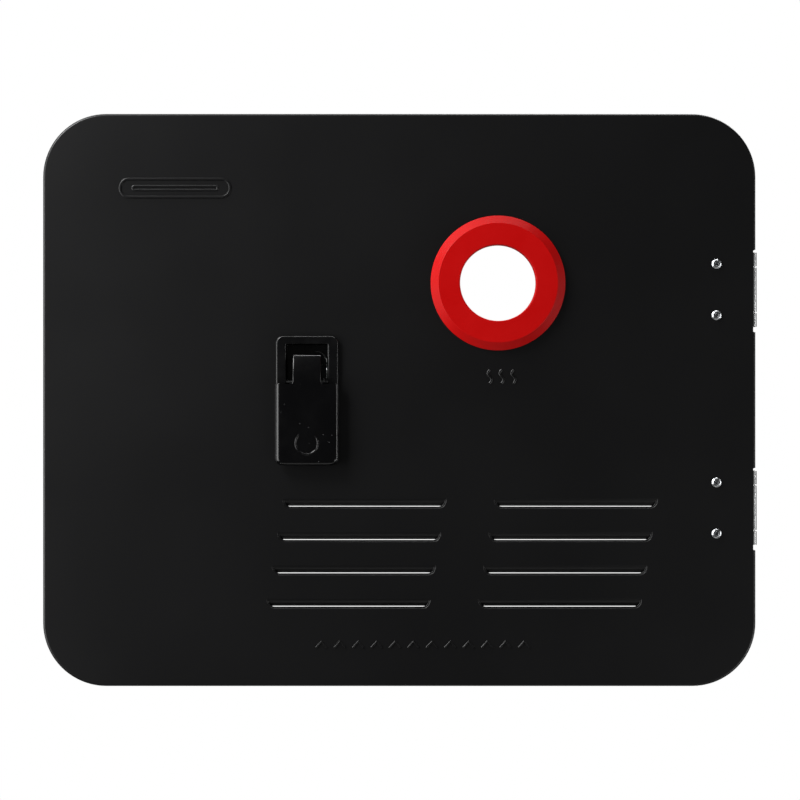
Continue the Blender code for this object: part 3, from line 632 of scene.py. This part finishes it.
def fit(name, mesh, finish, body, nodes, sharp=35):
    """Shown piece in its place, standing for CAD nodes and riding on a body."""
    mesh = shaded(mesh, finishes[finish], sharp)
    mesh.transform(Matrix.Translation(CENTRE))
    mesh.name = name
    piece = linked(name, mesh)
    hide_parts(*nodes)
    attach(piece, body)
    return piece


def moved(mesh, x, y, z):
    mesh.transform(Matrix.Translation((x, y, z)))
    return mesh


# ---- door pan ----

def pan_shell():
    """Pan of bent sheet, from its inner face round the rim to its outer face."""
    outer = quarter(PANEL_BEND)
    inner = [(SHEET + across, SHEET + down) for across, down in quarter(PANEL_BEND - SHEET)]
    burr = 0.2 * MM
    rim = [(SHEET, FLANGE_DEPTH - burr), (SHEET - burr, FLANGE_DEPTH), (burr, FLANGE_DEPTH),
           (0.0, FLANGE_DEPTH - burr)]
    steps = [*reversed(inner), *rim, *outer]
    return loft([at_depth(rounded_box(PANEL_WIDTH, PANEL_HEIGHT, PANEL_CORNER, inset, steps=20), y)
                 for inset, y in steps])


def louvre_outline(inset, lap):
    """Louvre outline with a straight top edge and two round bottom corners."""
    half = LOUVRE_LENGTH / 2 - inset
    bottom = inset - LOUVRE_HEIGHT
    radius = LOUVRE_CORNER - inset
    left = arc((-half + radius, bottom + radius), radius, 180, 90, 12)
    right = arc((half - radius, bottom + radius), radius, 270, 90, 12)
    return [(-half, lap), *left, *right, (half, lap)]


def louvre_rim():
    """(inset, depth) down the rim: two soft rolls with a flat land between them."""
    inset = depth = 0.0
    points = [(0.0, -SHEET), (0.0, 0.0)]
    for radius, start, end in ((0.45 * MM, 0, 65), (-0.25 * MM, 65, 0), (0.4 * MM, 0, 90)):
        if start == 0 and depth > 0.0:
            inset += LOUVRE_LAND
            points.append((inset, depth))
        turns = [math.radians(start + (end - start) * step / 5) for step in range(6)]
        for before, after in zip(turns, turns[1:]):
            inset += radius * (math.sin(after) - math.sin(before))
            depth += radius * (math.cos(before) - math.cos(after))
            points.append((inset, depth))
    return points


def dip(fall, behind=0.0):
    """(y, z) points down the dipped sheet, from its smooth top edge to its free edge."""
    steps = 14
    return [(behind - SKIN + LOUVRE_DEPTH * (step / steps) ** 2, -fall * step / steps)
            for step in range(steps + 1)]


def louvre_tools():
    """Shell, hollow and slot of one louvre, with the middle of its top edge at the origin."""
    rim = louvre_rim()
    rim_width, rim_depth = rim[-1]
    fall = LOUVRE_HEIGHT - rim_width - 0.4 * MM
    deep = LOUVRE_DEPTH + 2 * SHEET
    lap = 1.5 * MM
    foot = -LOUVRE_HEIGHT - lap
    back = dip(fall, SHEET)
    shell = loft([at_depth(louvre_outline(inset, lap), y) for inset, y in
                  ((-0.8 * SHEET, SHEET / 2), (-0.5 * SHEET, SHEET),
                   (rim_width - SHEET, rim_depth + SHEET), (rim_width - SHEET, deep + SHEET))])
    hollow = loft([at_depth(louvre_outline(inset, 0.0), y) for inset, y in
                   (*rim, (rim_width + SKIN, deep))])
    shell_view = [(SHEET / 2, lap), (SHEET - SKIN, lap), *back, (back[-1][0], foot),
                  (SHEET / 2, foot)]
    hollow_view = [(-2 * SHEET, lap), (-SKIN, lap), *dip(fall), (2 * deep, -fall), (2 * deep, foot),
                   (-2 * SHEET, foot)]
    half = LOUVRE_LENGTH / 2 + lap
    views = [side_solid(view, -half, half) for view in (shell_view, hollow_view)]
    slot_half = LOUVRE_LENGTH / 2 - 4 * MM
    slot = block((-slot_half, rim_depth + SHEET, foot - SHEET), (slot_half, 2 * deep, -fall - SKIN))
    return boolean(shell, views[0], "INTERSECT"), boolean(hollow, views[1], "INTERSECT"), slot


def press_marks():
    """Generic raised marks: a blank framed plate, rising heat and a row of air chevrons."""
    root = 0.5 * MM
    high = 0.6 * MM
    plate = rounded_box(75.4 * MM, 13.5 * MM, 6.5 * MM, 0.7 * MM, (-151 * MM, 142.8 * MM), 10)
    bar = rounded_box(58 * MM, 3.4 * MM, 1.5 * MM, 0.4 * MM, (-151 * MM, 142.8 * MM), 6)
    beads = [ridge(plate, 2.0 * MM, high, root, closed=True),
             ridge(bar, 1.6 * MM, high, root, closed=True)]
    for wave in (-1, 0, 1):
        path = [(68.9 * MM + wave * 8 * MM + 1.3 * MM * math.sin(math.tau * step / 16),
                 15.8 * MM + (step / 16 - 0.5) * 9 * MM) for step in range(17)]
        beads.append(ridge(path, 1.8 * MM, high, root))
    chevron = ridge([(-3.6 * MM, -2.1 * MM), (0.0, 2.1 * MM), (3.6 * MM, -2.1 * MM)],
                    1.7 * MM, high, root)
    row = through_group(chevron, rows, across_count=12, across_step=(12.4 * MM, 0.0, 0.0),
                        down_count=1, finish="coat")
    beads.append(moved(row, 15.7 * MM - 5.5 * 12.4 * MM, 0.0, -164.7 * MM))
    return combine(*beads)


def door_pan():
    """Coated pan with its louvres, marks, holes and hinge windows."""
    shell, hollow, slot = [
        moved(through_group(tool, rows, across_count=2, across_step=LOUVRE_ACROSS, down_count=4,
                            down_step=LOUVRE_DOWN, finish="coat"),
              LOUVRE_FIRST[0], 0.0, LOUVRE_FIRST[1])
        for tool in louvre_tools()]
    pan = join(pan_shell(), shell, press_marks())
    pan = cut(pan, hollow, slot)
    front, back = -5 * SHEET, 5 * SHEET
    neck = PORT_BORE / 2 + NECK_WALL
    holes = [rod("Y", PORT, neck + 0.3 * MM, front, back, segments=96)]
    half = RECESS_WIDTH / 2 + 1.7 * MM
    low_z, high_z = TUB_OPENING
    holes.append(block((LATCH_X - half, front, low_z), (LATCH_X + half, back, high_z)))
    for node in RIVETS + LATCH_SCREWS:
        radius = 1.9 * MM if node in RIVETS else SCREW_HOLE
        holes.append(rod("Y", middle_of(node), radius, front, back))
    for z in HINGE_Z.values():
        window = box_between(EDGE_X - 1.6 * MM, EDGE_X + 6 * MM, z - 28.7 * MM, z + 26.9 * MM,
                             0.8 * MM, steps=4)
        holes.append(loft([at_depth(window, y) for y in (front, FLANGE_DEPTH + SHEET)]))
    return cut(pan, combine(*holes))


# ---- exhaust ring ----

def exhaust_ring():
    bore = PORT_BORE / 2
    neck = bore + NECK_WALL
    chamfer = (RING_OUTER - RING_FACE) / 2
    outer = RING_OUTER / 2
    profile = filleted([
        (bore, ring_high.y, 0.4 * MM), (bore, ring_low.y, 0.7 * MM),
        (RING_FACE / 2, ring_low.y, 0.5 * MM), (outer, ring_low.y + chamfer, 0.35 * MM),
        (outer, ring_high.y - 10.3 * MM, 0.2 * MM), (neck, ring_high.y - 10.3 * MM, 0.2 * MM),
        (neck, ring_high.y, 0.6 * MM)], 6)
    return turned("Y", PORT, profile, 160, ring=True)


def push_on_ring():
    """Stamped retainer: a flat rim with bent teeth that grip the ring's neck."""
    low, high = node_box("exhaust_ring_retainer")
    inner = PORT_BORE / 2 + NECK_WALL + 0.1 * MM
    outer = (high.x - low.x) / 2
    rim = turned("Y", (0.0, 0.0), filleted([
        (inner + 3.2 * MM, low.y, 0.2 * MM), (outer, low.y, 0.3 * MM),
        (outer, high.y, 0.3 * MM), (inner + 3.2 * MM, high.y, 0.2 * MM)], 3), 96, ring=True)
    tooth = loft([
        [Vector((x, low.y + lift + thick, inner + reach)) for x, thick in
         ((-wide, 0.0), (wide, 0.0), (wide, 0.6 * MM), (-wide, 0.6 * MM))]
        for reach, wide, lift in ((0.25 * MM, 3.0 * MM, 0.55 * MM), (2.0 * MM, 3.6 * MM, 0.3 * MM),
                                  (3.8 * MM, 4.2 * MM, 0.1 * MM))])
    teeth = through_group(tooth, around, count=16, finish="zinc")
    return moved(combine(rim, teeth), PORT[0], 0.0, PORT[1])


# ---- latch ----

def latch_base():
    """Bezel, recess and tub moulded in one, as a single skin from the tub's back to the recess."""
    back, seat, face = base_high.y, -0.3 * MM, base_low.y
    tub_half = RECESS_WIDTH / 2 + 1.3 * MM
    edge, rim, bottom_round = 1.3 * MM, 0.8 * MM, 0.8 * MM
    tub = (LATCH_X - tub_half, LATCH_X + tub_half, -17.6 * MM, 39.0 * MM, 1.6 * MM)
    bezel = (base_low.x, base_high.x, base_low.z, base_high.z, 5.0 * MM)
    half = RECESS_WIDTH / 2
    recess = (LATCH_X - half, LATCH_X + half, RECESS_BOTTOM, RECESS_TOP, 1.2 * MM)
    steps = [(tub, 0.5 * MM, back), (tub, 0.15 * MM, back - 0.15 * MM), (tub, 0.0, back - 0.5 * MM),
             (tub, 0.0, seat), (bezel, 0.25 * MM, seat), (bezel, 0.0, seat - 0.25 * MM)]
    steps += [(bezel, across, face + down) for across, down in quarter(edge)]
    steps += [(recess, -down, face + across) for across, down in quarter(rim)]
    steps += [(recess, across, RECESS_DEPTH - down) for across, down in quarter(bottom_round)]
    skin = loft([at_depth(box_between(*outline, inset, 8), y) for outline, inset, y in steps])
    pin_hole = rod("X", PIVOT, 1.8 * MM, LATCH_X - 20 * MM, LATCH_X + 20 * MM)
    tail_slot = block((LATCH_X - TAIL_SLOT, RECESS_DEPTH - 1.3 * MM, PIVOT[1] - 10 * MM),
                      (LATCH_X + TAIL_SLOT, back + MM, PIVOT[1] + 3.1 * MM))
    holes = []
    for node in LATCH_SCREWS + GUIDE_SCREWS:
        start = node_box(node)[0].y - 0.3 * MM
        end = 0.0 if node in LATCH_SCREWS else back + MM
        holes.append(rod("Y", middle_of(node), SCREW_HOLE, start, end))
    return cut(skin, pin_hole, tail_slot, combine(*holes))


def clamp_plate():
    low, high = node_box("latch_clamp_plate")
    outline = box_between(low.x, high.x, low.z, high.z, 5.0 * MM)
    plate = loft([at_depth(outline, y) for y in (low.y, high.y)])
    half = RECESS_WIDTH / 2 + 1.7 * MM
    window = box_between(LATCH_X - half, LATCH_X + half, *TUB_OPENING, 1.5 * MM, steps=4)
    tools = [loft([at_depth(window, y) for y in (0.0, high.y + MM)])]
    tools += [rod("Y", middle_of(node), SCREW_HOLE, 0.0, high.y + MM) for node in LATCH_SCREWS]
    return bevelled(cut(plate, *tools), 0.2 * MM)


def pan_head_screw(node):
    """Screw driven from behind, with a domed head and a cross recess, on the Y axis."""
    low, high = node_box(node)
    seat = high.y - 1.5 * MM
    profile = filleted([
        (SKIN, low.y, 0.0), (0.5 * MM, low.y, 0.0), (1.3 * MM, low.y + 1.2 * MM, 0.3 * MM),
        (1.3 * MM, seat, 0.0), (2.4 * MM, seat, 0.2 * MM), (2.4 * MM, high.y - 0.5 * MM, 0.6 * MM),
        (1.4 * MM, high.y, 0.8 * MM), (SKIN, high.y, 0.0)], 4)
    screw = turned("Y", (0.0, 0.0), profile, 32)
    wide, narrow, deep = 1.25 * MM, 0.28 * MM, 0.8 * MM
    blades = [loft([[Vector((x, high.y + rise, z)) for x, z in outline] for rise, outline in
                    ((0.1 * MM, ((-a, -b), (a, -b), (a, b), (-a, b))),
                     (-deep, ((-a / 2, -b / 2), (a / 2, -b / 2), (a / 2, b / 2), (-a / 2, b / 2))))])
              for a, b in ((wide, narrow), (narrow, wide))]
    return cut(screw, *blades)


def screw_rows(nodes):
    """All screws of one kind, set out from their CAD places."""
    spots = [middle_of(node) for node in nodes]
    left, right = min(x for x, z in spots), max(x for x, z in spots)
    bottom, top = min(z for x, z in spots), max(z for x, z in spots)
    down = 2 if top - bottom > MM else 1
    screws = through_group(pan_head_screw(nodes[0]), rows, across_count=2,
                           across_step=(right - left, 0.0, 0.0), down_count=down,
                           down_step=(0.0, 0.0, bottom - top), finish="zinc")
    return moved(screws, left, 0.0, top)


def bolt_guide():
    """Hat-section strap with bent corners and the spring's seat at its foot."""
    low, high = node_box("latch_bolt_guide")
    sheet = STRIP
    inner, outer, ear = 7.4 * MM, 8.6 * MM, 14.6 * MM
    front, back = low.y, high.y
    half = [(inner, front, 1.5 * MM), (ear, front, 0.2 * MM), (ear, front + sheet, 0.2 * MM),
            (outer, front + sheet, 0.3 * MM), (outer, back, 1.6 * MM)]
    web = back - sheet
    section = filleted([*half, *[(-x, y, r) for x, y, r in reversed(half)],
                        (-inner, web, 0.5 * MM), (inner, web, 0.5 * MM)], 5)
    strap = extruded([(LATCH_X + x, y) for x, y in section], low.z, high.z)
    seat = block((LATCH_X - 8 * MM, front + 0.3 * MM, low.z),
                 (LATCH_X + 8 * MM, web + 0.6 * MM, low.z + sheet))
    holes = [rod("Y", middle_of(node), SCREW_HOLE, front - MM, front + 2 * sheet)
             for node in GUIDE_SCREWS]
    return bevelled(cut(join(strap, seat), combine(*holes)), 0.15 * MM)


def slide_bolt():
    """Flat zinc bar with a ramped nose and a window for the lever's tail."""
    low, high = node_box("latch_bolt")
    view = [(low.y, low.z), (high.y, low.z), (high.y, high.z - 7 * MM),
            (low.y + 1.2 * MM, high.z), (low.y, high.z)]
    bar = side_solid(view, low.x, high.x)
    window = block((LATCH_X - TAIL_SLOT, low.y - MM, PIVOT[1] - 3.8 * MM),
                   (LATCH_X + TAIL_SLOT, high.y + MM, PIVOT[1] + 3.5 * MM))
    return bevelled(cut(bar, window), 0.35 * MM, 3, 25)


def lever_row(z, half, front, back, edge, crown):
    """Cross-section of the lever: crowned front, round front edges and eased back edges."""
    row = []
    for side in (-1, 1):
        arc_points = [(side * (half - across), front + down) for across, down in quarter(edge)]
        if side == -1:
            row += arc_points
            reach = half - edge
            row += [(reach * (2 * step / 16 - 1), front) for step in range(1, 16)]
        else:
            row += reversed(arc_points)
    row = [(x, y + crown * (x / (PADDLE_WIDTH / 2)) ** 2) for x, y in row]
    ease = 0.5 * MM
    side_back = max(back, row[0][1] + 2 * ease)
    row += [(half, side_back - ease), (half - ease, side_back), (-half + ease, side_back),
            (-half, side_back - ease)]
    return [Vector((LATCH_X + x, y, z)) for x, y in row]


def latch_lever():
    """Paddle that narrows to a tongue; behind it the hub on the pin and the tail for the bolt."""
    bead = 0.35 * MM
    face, paddle_back = lever_low.y + bead, -5.4 * MM
    corner, edge, crown = 5.4 * MM, 3.6 * MM, 0.8 * MM
    rows_up = []
    bottom = lever_low.z
    for step in range(13):
        turn = math.radians(90 * step / 12)
        rise = corner * (1 - math.cos(turn))
        half = PADDLE_WIDTH / 2 - corner * (1 - math.sin(turn))
        dip = max(edge - rise, 0.0) / edge
        drop = edge * (1 - math.sqrt(1 - dip * dip)) if dip < 1 else edge
        rows_up.append((bottom + rise, half, face + drop, paddle_back, edge))
    shelf = PADDLE_TOP
    rows_up += [(shelf - 2.0 * MM, PADDLE_WIDTH / 2, face, paddle_back, edge),
                (shelf - 0.5 * MM, PADDLE_WIDTH / 2, face, paddle_back, edge),
                (shelf - 0.15 * MM, PADDLE_WIDTH / 2 - 0.12 * MM, face, paddle_back, edge),
                (shelf, PADDLE_WIDTH / 2 - 0.5 * MM, face, paddle_back, edge)]
    flare = 1.6 * MM
    for turn in range(0, 91, 18):
        lean = math.radians(turn)
        rows_up.append((shelf + SKIN + flare * (1 - math.cos(lean)),
                        TONGUE_WIDTH / 2 + flare * (1 - math.sin(lean)), face,
                        paddle_back + 0.4 * MM, 0.9 * MM))
    view = ((14.5, 0.15, -4.9), (16.5, 0.6, -4.6), (18.9, 1.2, -4.4), (21.9, 2.15, -3.8),
            (24.9, 3.3, -3.1), (27.4, 4.5, -2.3), (29.4, 5.6, -1.5), (30.5, 6.5, -1.2),
            (30.85, 7.4, -1.6))
    rows_up += [(z * MM, TONGUE_WIDTH / 2, face + back_off * MM, back * MM, 0.9 * MM)
                for z, back_off, back in view]
    skin = loft([lever_row(*row, crown) for row in rows_up])
    hub = [(-6.4 * MM, 6.5 * MM), (-6.4 * MM, 17.5 * MM), (-4.9 * MM, 19.4 * MM)]
    hub += arc(PIVOT, 4.2 * MM, 75, -150, 14)
    half = TONGUE_WIDTH / 2 - SKIN
    core = bevelled(side_solid(hub, LATCH_X - half, LATCH_X + half), 0.35 * MM)
    tail = block((LATCH_X - 3.6 * MM, PIVOT[0], PIVOT[1] - 2.2 * MM),
                 (LATCH_X + 3.6 * MM, lever_high.y, PIVOT[1] + 2.2 * MM))
    tail = bevelled(tail, 0.6 * MM, 3)
    bore = rod("X", PIVOT, 1.6 * MM, LATCH_X - 20 * MM, LATCH_X + 20 * MM, segments=40)
    ring = [Vector((LATCH_X + x, face + 0.45 * MM, -29 * MM + z))
            for x, z in arc((0.0, 0.0), 7.5 * MM, 137, 266, 40)]
    return cut(join(skin, core, tail, wire(ring, 0.8 * MM, 16)), bore)


def torsion_spring():
    """Coil beside the hub; one leg runs up the recess and arches over the tongue's corner."""
    wire_radius, coil_radius, turns, arch = 0.4 * MM, 2.7 * MM, 3, 8 * MM
    start = LATCH_X + TONGUE_WIDTH / 2 + 0.6 * MM + wire_radius
    pitch = 2 * wire_radius + 0.1 * MM
    steps = 28
    points = [Vector((start + pitch * step / steps,
                      PIVOT[0] + coil_radius * math.cos(math.tau * step / steps),
                      PIVOT[1] + coil_radius * math.sin(math.tau * step / steps)))
              for step in range(turns * steps + 1)]
    end = points[-1]
    leg_y = RECESS_DEPTH - wire_radius - 0.3 * MM
    arch_z = PIVOT[1] + 13 * MM
    for step in range(1, 12):
        turn = math.radians(90 * step / 12)
        points.append(Vector((end.x, end.y + (leg_y - end.y) * (1 - math.cos(turn)),
                              end.z + (arch_z - end.z) * math.sin(turn))))
    points += [Vector((x, leg_y, z)) for x, z in arc((end.x - arch, arch_z), arch, 0, 90, 16)]
    return wire(points, wire_radius, 14)


def bolt_spring():
    low, high = node_box("bolt_compression_spring")
    wire_radius = 0.35 * MM
    seed = bpy.data.meshes.new("seed")
    spring = through_group(seed, coil, turns=7.0, coil_radius=1.5 * MM, wire_radius=wire_radius,
                           height=high.z - low.z - 2 * wire_radius, finish="stainless")
    return moved(spring, LATCH_X, (low.y + high.y) / 2, low.z + wire_radius)


# ---- seal ----

def weather_seal():
    """Foam strip in a closed run, its back edges pressed round."""
    low, high = node_box("perimeter_seal")
    strip, swell = 10 * MM, 3.2 * MM
    near = [(across, high.y - down) for across, down in quarter(swell, 18)]
    section = [(0.15 * MM, low.y), (0.0, low.y + 0.3 * MM), *near]
    section += [(strip - inset, y) for inset, y in reversed(section)]
    return loft([at_depth(box_between(low.x, high.x, low.z, high.z, 32 * MM, inset, 16), y)
                 for inset, y in section], ring=True)


# ---- hinges and rivets ----

def rolled(start, steps):
    """Angles of a knuckle rolled round the pin from where its leaf meets it."""
    return [math.radians(start + steps * 290 / 24 * step) for step in range(25)]


def door_leaf(node, z):
    """Flat leaf with two end knuckles rolled round the pin."""
    low, high = node_box(node)
    front, sheet = low.y + SKIN, STRIP
    outer = AXIS[1] - front
    inner = outer - sheet
    turns = rolled(-90, 1)
    ribbon = [(low.x, front), *[(AXIS[0] + outer * math.cos(a), AXIS[1] + outer * math.sin(a))
                                for a in turns]]
    ribbon += [(AXIS[0] + inner * math.cos(a), AXIS[1] + inner * math.sin(a))
               for a in reversed(turns)]
    ribbon.append((low.x, front + sheet))
    leaf = extruded(ribbon, low.z, high.z)
    notch_half = HINGE_LENGTH / 2 - 9.2 * MM
    notch = block((AXIS[0] - 3.1 * MM, front - MM, z - notch_half),
                  (AXIS[0] + 5 * MM, high.y + MM, z + notch_half))
    holes = [rod("Y", (RIVET_X, z + side * LEAF_HOLES / 2), 1.9 * MM, front - MM, front + 3 * sheet)
             for side in (-1, 1)]
    return bevelled(cut(leaf, notch, combine(*holes)), 0.15 * MM, 2, 50)


def wall_leaf(node, z):
    """Leaf with the middle knuckle, its neck bent back behind the door to the wall."""
    low, high = node_box(node)
    sheet, bend = STRIP, 1.8 * MM
    outer_x, back = high.x - SKIN, high.y
    outer = outer_x - AXIS[0]
    inner = outer - sheet
    turns = rolled(0, -1)
    ribbon = [(low.x, back)]
    ribbon += arc((outer_x - bend, back - bend), bend, 90, -90, 6)
    ribbon += [(AXIS[0] + outer * math.cos(a), AXIS[1] + outer * math.sin(a)) for a in turns]
    ribbon += [(AXIS[0] + inner * math.cos(a), AXIS[1] + inner * math.sin(a))
               for a in reversed(turns)]
    ribbon += arc((outer_x - bend, back - bend), bend - sheet, 0, 90, 6)
    ribbon.append((low.x, back - sheet))
    leaf = extruded(ribbon, low.z, high.z)
    neck_half = (HINGE_LENGTH - 18.4 * MM - 1.8 * MM) / 2
    trims = [block((AXIS[0] - 4 * MM, low.y - MM, z + min(side * neck_half, side * 30 * MM)),
                   (outer_x + MM, back - sheet - 0.6 * MM,
                    z + max(side * neck_half, side * 30 * MM))) for side in (-1, 1)]
    middle = (low.x + high.x) / 2
    holes = [rod("Y", (middle, z + side * LEAF_HOLES / 2), 2.25 * MM, back - 3 * sheet, back + MM)
             for side in (-1, 1)]
    return bevelled(cut(leaf, combine(*trims), combine(*holes)), 0.15 * MM, 2, 50)


def blind_rivets():
    """Domed heads with open mandrel holes, and the set tails behind the leaves."""
    low, high = node_box("upper_rivet_top")
    top, seat = low.y, low.y + 1.2 * MM
    tail = high.y - 3.6 * MM
    profile = filleted([
        (SKIN, top + 2.6 * MM, 0.0), (0.5 * MM, top + 2.5 * MM, 0.2 * MM),
        (1.15 * MM, top + 1.2 * MM, 0.2 * MM), (1.15 * MM, top, 0.15 * MM),
        (2.2 * MM, top + SKIN, 0.9 * MM), (3.3 * MM, top + 0.85 * MM, 0.25 * MM),
        (3.3 * MM, seat, 0.08 * MM), (1.6 * MM, seat, 0.0), (1.6 * MM, tail, 0.3 * MM),
        (2.5 * MM, tail + 1.0 * MM, 0.6 * MM), (2.5 * MM, tail + 2.6 * MM, 0.7 * MM),
        (1.1 * MM, high.y, 0.3 * MM), (SKIN, high.y, 0.0)], 5)
    rivet = turned("Y", (0.0, 0.0), profile, 48)
    drop = HINGE_Z["lower"] - HINGE_Z["upper"]
    rivets = through_group(rivet, rows, across_count=2, across_step=(0.0, 0.0, drop), down_count=2,
                           down_step=(0.0, 0.0, -LEAF_HOLES), finish="rivet")
    return moved(rivets, (low.x + high.x) / 2, 0.0, (low.z + high.z) / 2)


# ---- making and placing every piece ----

finishes = {
    "coat": powder_coat(), "nylon": satin_nylon(), "gloss": gloss_nylon(),
    "silicone": red_silicone(), "foam": foam_rubber(), "zinc": zinc_plate(),
    "stainless": drawn_stainless("drawn stainless spring wire", "#c3c4c4", 0.16, 0.3,
                                 (per_mm(0.4), per_mm(0.4), per_mm(0.4))),
    "leaf": drawn_stainless("cold-rolled stainless strip", "#bfc0c0", 0.24, 0.42,
                            (per_mm(0.35), per_mm(0.35), per_mm(14))),
    "rivet": rivet_aluminium()}
rows, around, coil = rows_group(), round_group(), coil_group()

fit("coated_door_pan", door_pan(), "coat", "door", ["door_panel"], 28)
seal = fit("foam_weather_seal", weather_seal(), "foam", "door",
           ["perimeter_seal"])
fit("silicone_exhaust_ring", exhaust_ring(), "silicone", "door",
    ["exhaust_ring"], 50)
fit("toothed_ring_retainer", push_on_ring(), "zinc", "door",
    ["exhaust_ring_retainer"])

fit("latch_bezel_and_tub", latch_base(), "nylon", "door",
    ["latch_base"], 40)
fit("clamp_plate", clamp_plate(), "zinc", "door", ["latch_clamp_plate"])
fit("clamp_screws", screw_rows(LATCH_SCREWS), "zinc", "door", LATCH_SCREWS)
fit("guide_screws", screw_rows(GUIDE_SCREWS), "zinc", "door", GUIDE_SCREWS)
fit("bolt_guide_strap", bolt_guide(), "zinc", "door", ["latch_bolt_guide"])
fit("lever_pin", rod("X", PIVOT, 1.5 * MM, pin_low.x, pin_high.x, 0.25 * MM, 40),
    "stainless", "door", ["latch_pivot_pin"])
fit("lever_spring", torsion_spring(), "stainless", "door",
    ["lever_torsion_spring"], 60)
fit("pull_lever", latch_lever(), "gloss", "lever", ["latch_lever"], 40)
fit("slide_bolt", slide_bolt(), "zinc", "bolt", ["latch_bolt"])

spring = fit("bolt_return_spring", bolt_spring(), "stainless", "door",
             ["bolt_compression_spring"], 60)
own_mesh(spring)

for hinge, height in HINGE_Z.items():
    fit(f"{hinge}_leaf_on_door", door_leaf(f"{hinge}_door_leaf", height), "leaf",
        "door", [f"{hinge}_door_leaf"])
    fit(f"{hinge}_leaf_on_wall", wall_leaf(f"{hinge}_wall_leaf", height), "leaf",
        "wall_side", [f"{hinge}_wall_leaf"])
    fit(f"{hinge}_pin", rod("Z", AXIS, 1.0 * MM, height - HINGE_LENGTH / 2,
                            height + HINGE_LENGTH / 2, 0.2 * MM, 32),
        "stainless", "wall_side", [f"{hinge}_hinge_pin"])
fit("blind_rivets", blind_rivets(), "rivet", "door", RIVETS)


# ---- floor, lights and camera ----

def floor():
    """Plain pale floor well under the hanging door."""
    half, drop = 0.7, 1.3
    corners = [CENTRE + Vector((x, y, -drop)) for x, y in
               ((-half, -half), (half, -half), (half, half), (-half, half))]
    mesh = bpy.data.meshes.new("floor")
    mesh.from_pydata(corners, [], [(0, 1, 2, 3)])
    material, tree, shader, place = start_material("matt white studio board", "#ececea", 0.8)
    mottle = noise(tree, place, 60, 3.0)
    colour_range(tree, shader, mottle, "#e9e9e7", "#efefed")
    mesh.materials.append(material)
    board = linked("floor", mesh)


def softbox(name, place, width, height, power):
    """Rectangular area light at a place round the door, facing the middle of its front."""
    light = bpy.data.lights.new(name, "AREA")
    light.shape = "RECTANGLE"
    light.size, light.size_y = width, height
    light.energy = power
    lamp = linked(name, light)
    lamp.location = CENTRE + Vector(place)
    lamp.rotation_euler = (-Vector(place)).to_track_quat("-Z", "Y").to_euler()


def surroundings():
    """White behind the door, and only a dim even light from all round it."""
    world = bpy.data.worlds.new("studio")
    world.use_nodes = True
    tree = world.node_tree
    background = tree.nodes["Background"]
    path = add(tree, "ShaderNodeLightPath")
    strength = add(tree, "ShaderNodeMapRange", {"To Min": 0.05, "To Max": 1.0},
                   {"Value": path.outputs["Is Camera Ray"]})
    background.inputs["Color"].default_value = linear("#ffffff")
    tree.links.new(strength.outputs["Result"], background.inputs["Strength"])
    bpy.context.scene.world = world


def camera():
    lens, sensor, framed = 150, 36, 0.5388
    data = bpy.data.cameras.new("camera")
    data.lens, data.sensor_width = lens, sensor
    shown = linked("camera", data)
    shown.location = CENTRE + Vector((0.5 * MM, -framed * lens / sensor, 0.0))
    shown.rotation_euler = (math.radians(90), 0.0, 0.0)
    bpy.context.scene.camera = shown


floor()
surroundings()
softbox("key", (-0.58, -0.38, 0.62), 0.35, 0.35, 7)
softbox("top strip", (0.0, -0.10, 0.80), 0.9, 0.06, 2.5)
softbox("left strip", (-0.82, -0.42, -0.05), 0.60, 0.8, 6.5)
softbox("right strip", (1.0, -0.25, -0.1), 0.08, 0.9, 2)
softbox("low fill", (0.75, -0.60, -0.50), 0.45, 0.45, 2)
softbox("back", (0.5, 0.8, 1.0), 0.9, 0.9, 14)
camera()
bpy.context.scene.view_settings.view_transform = "Standard"
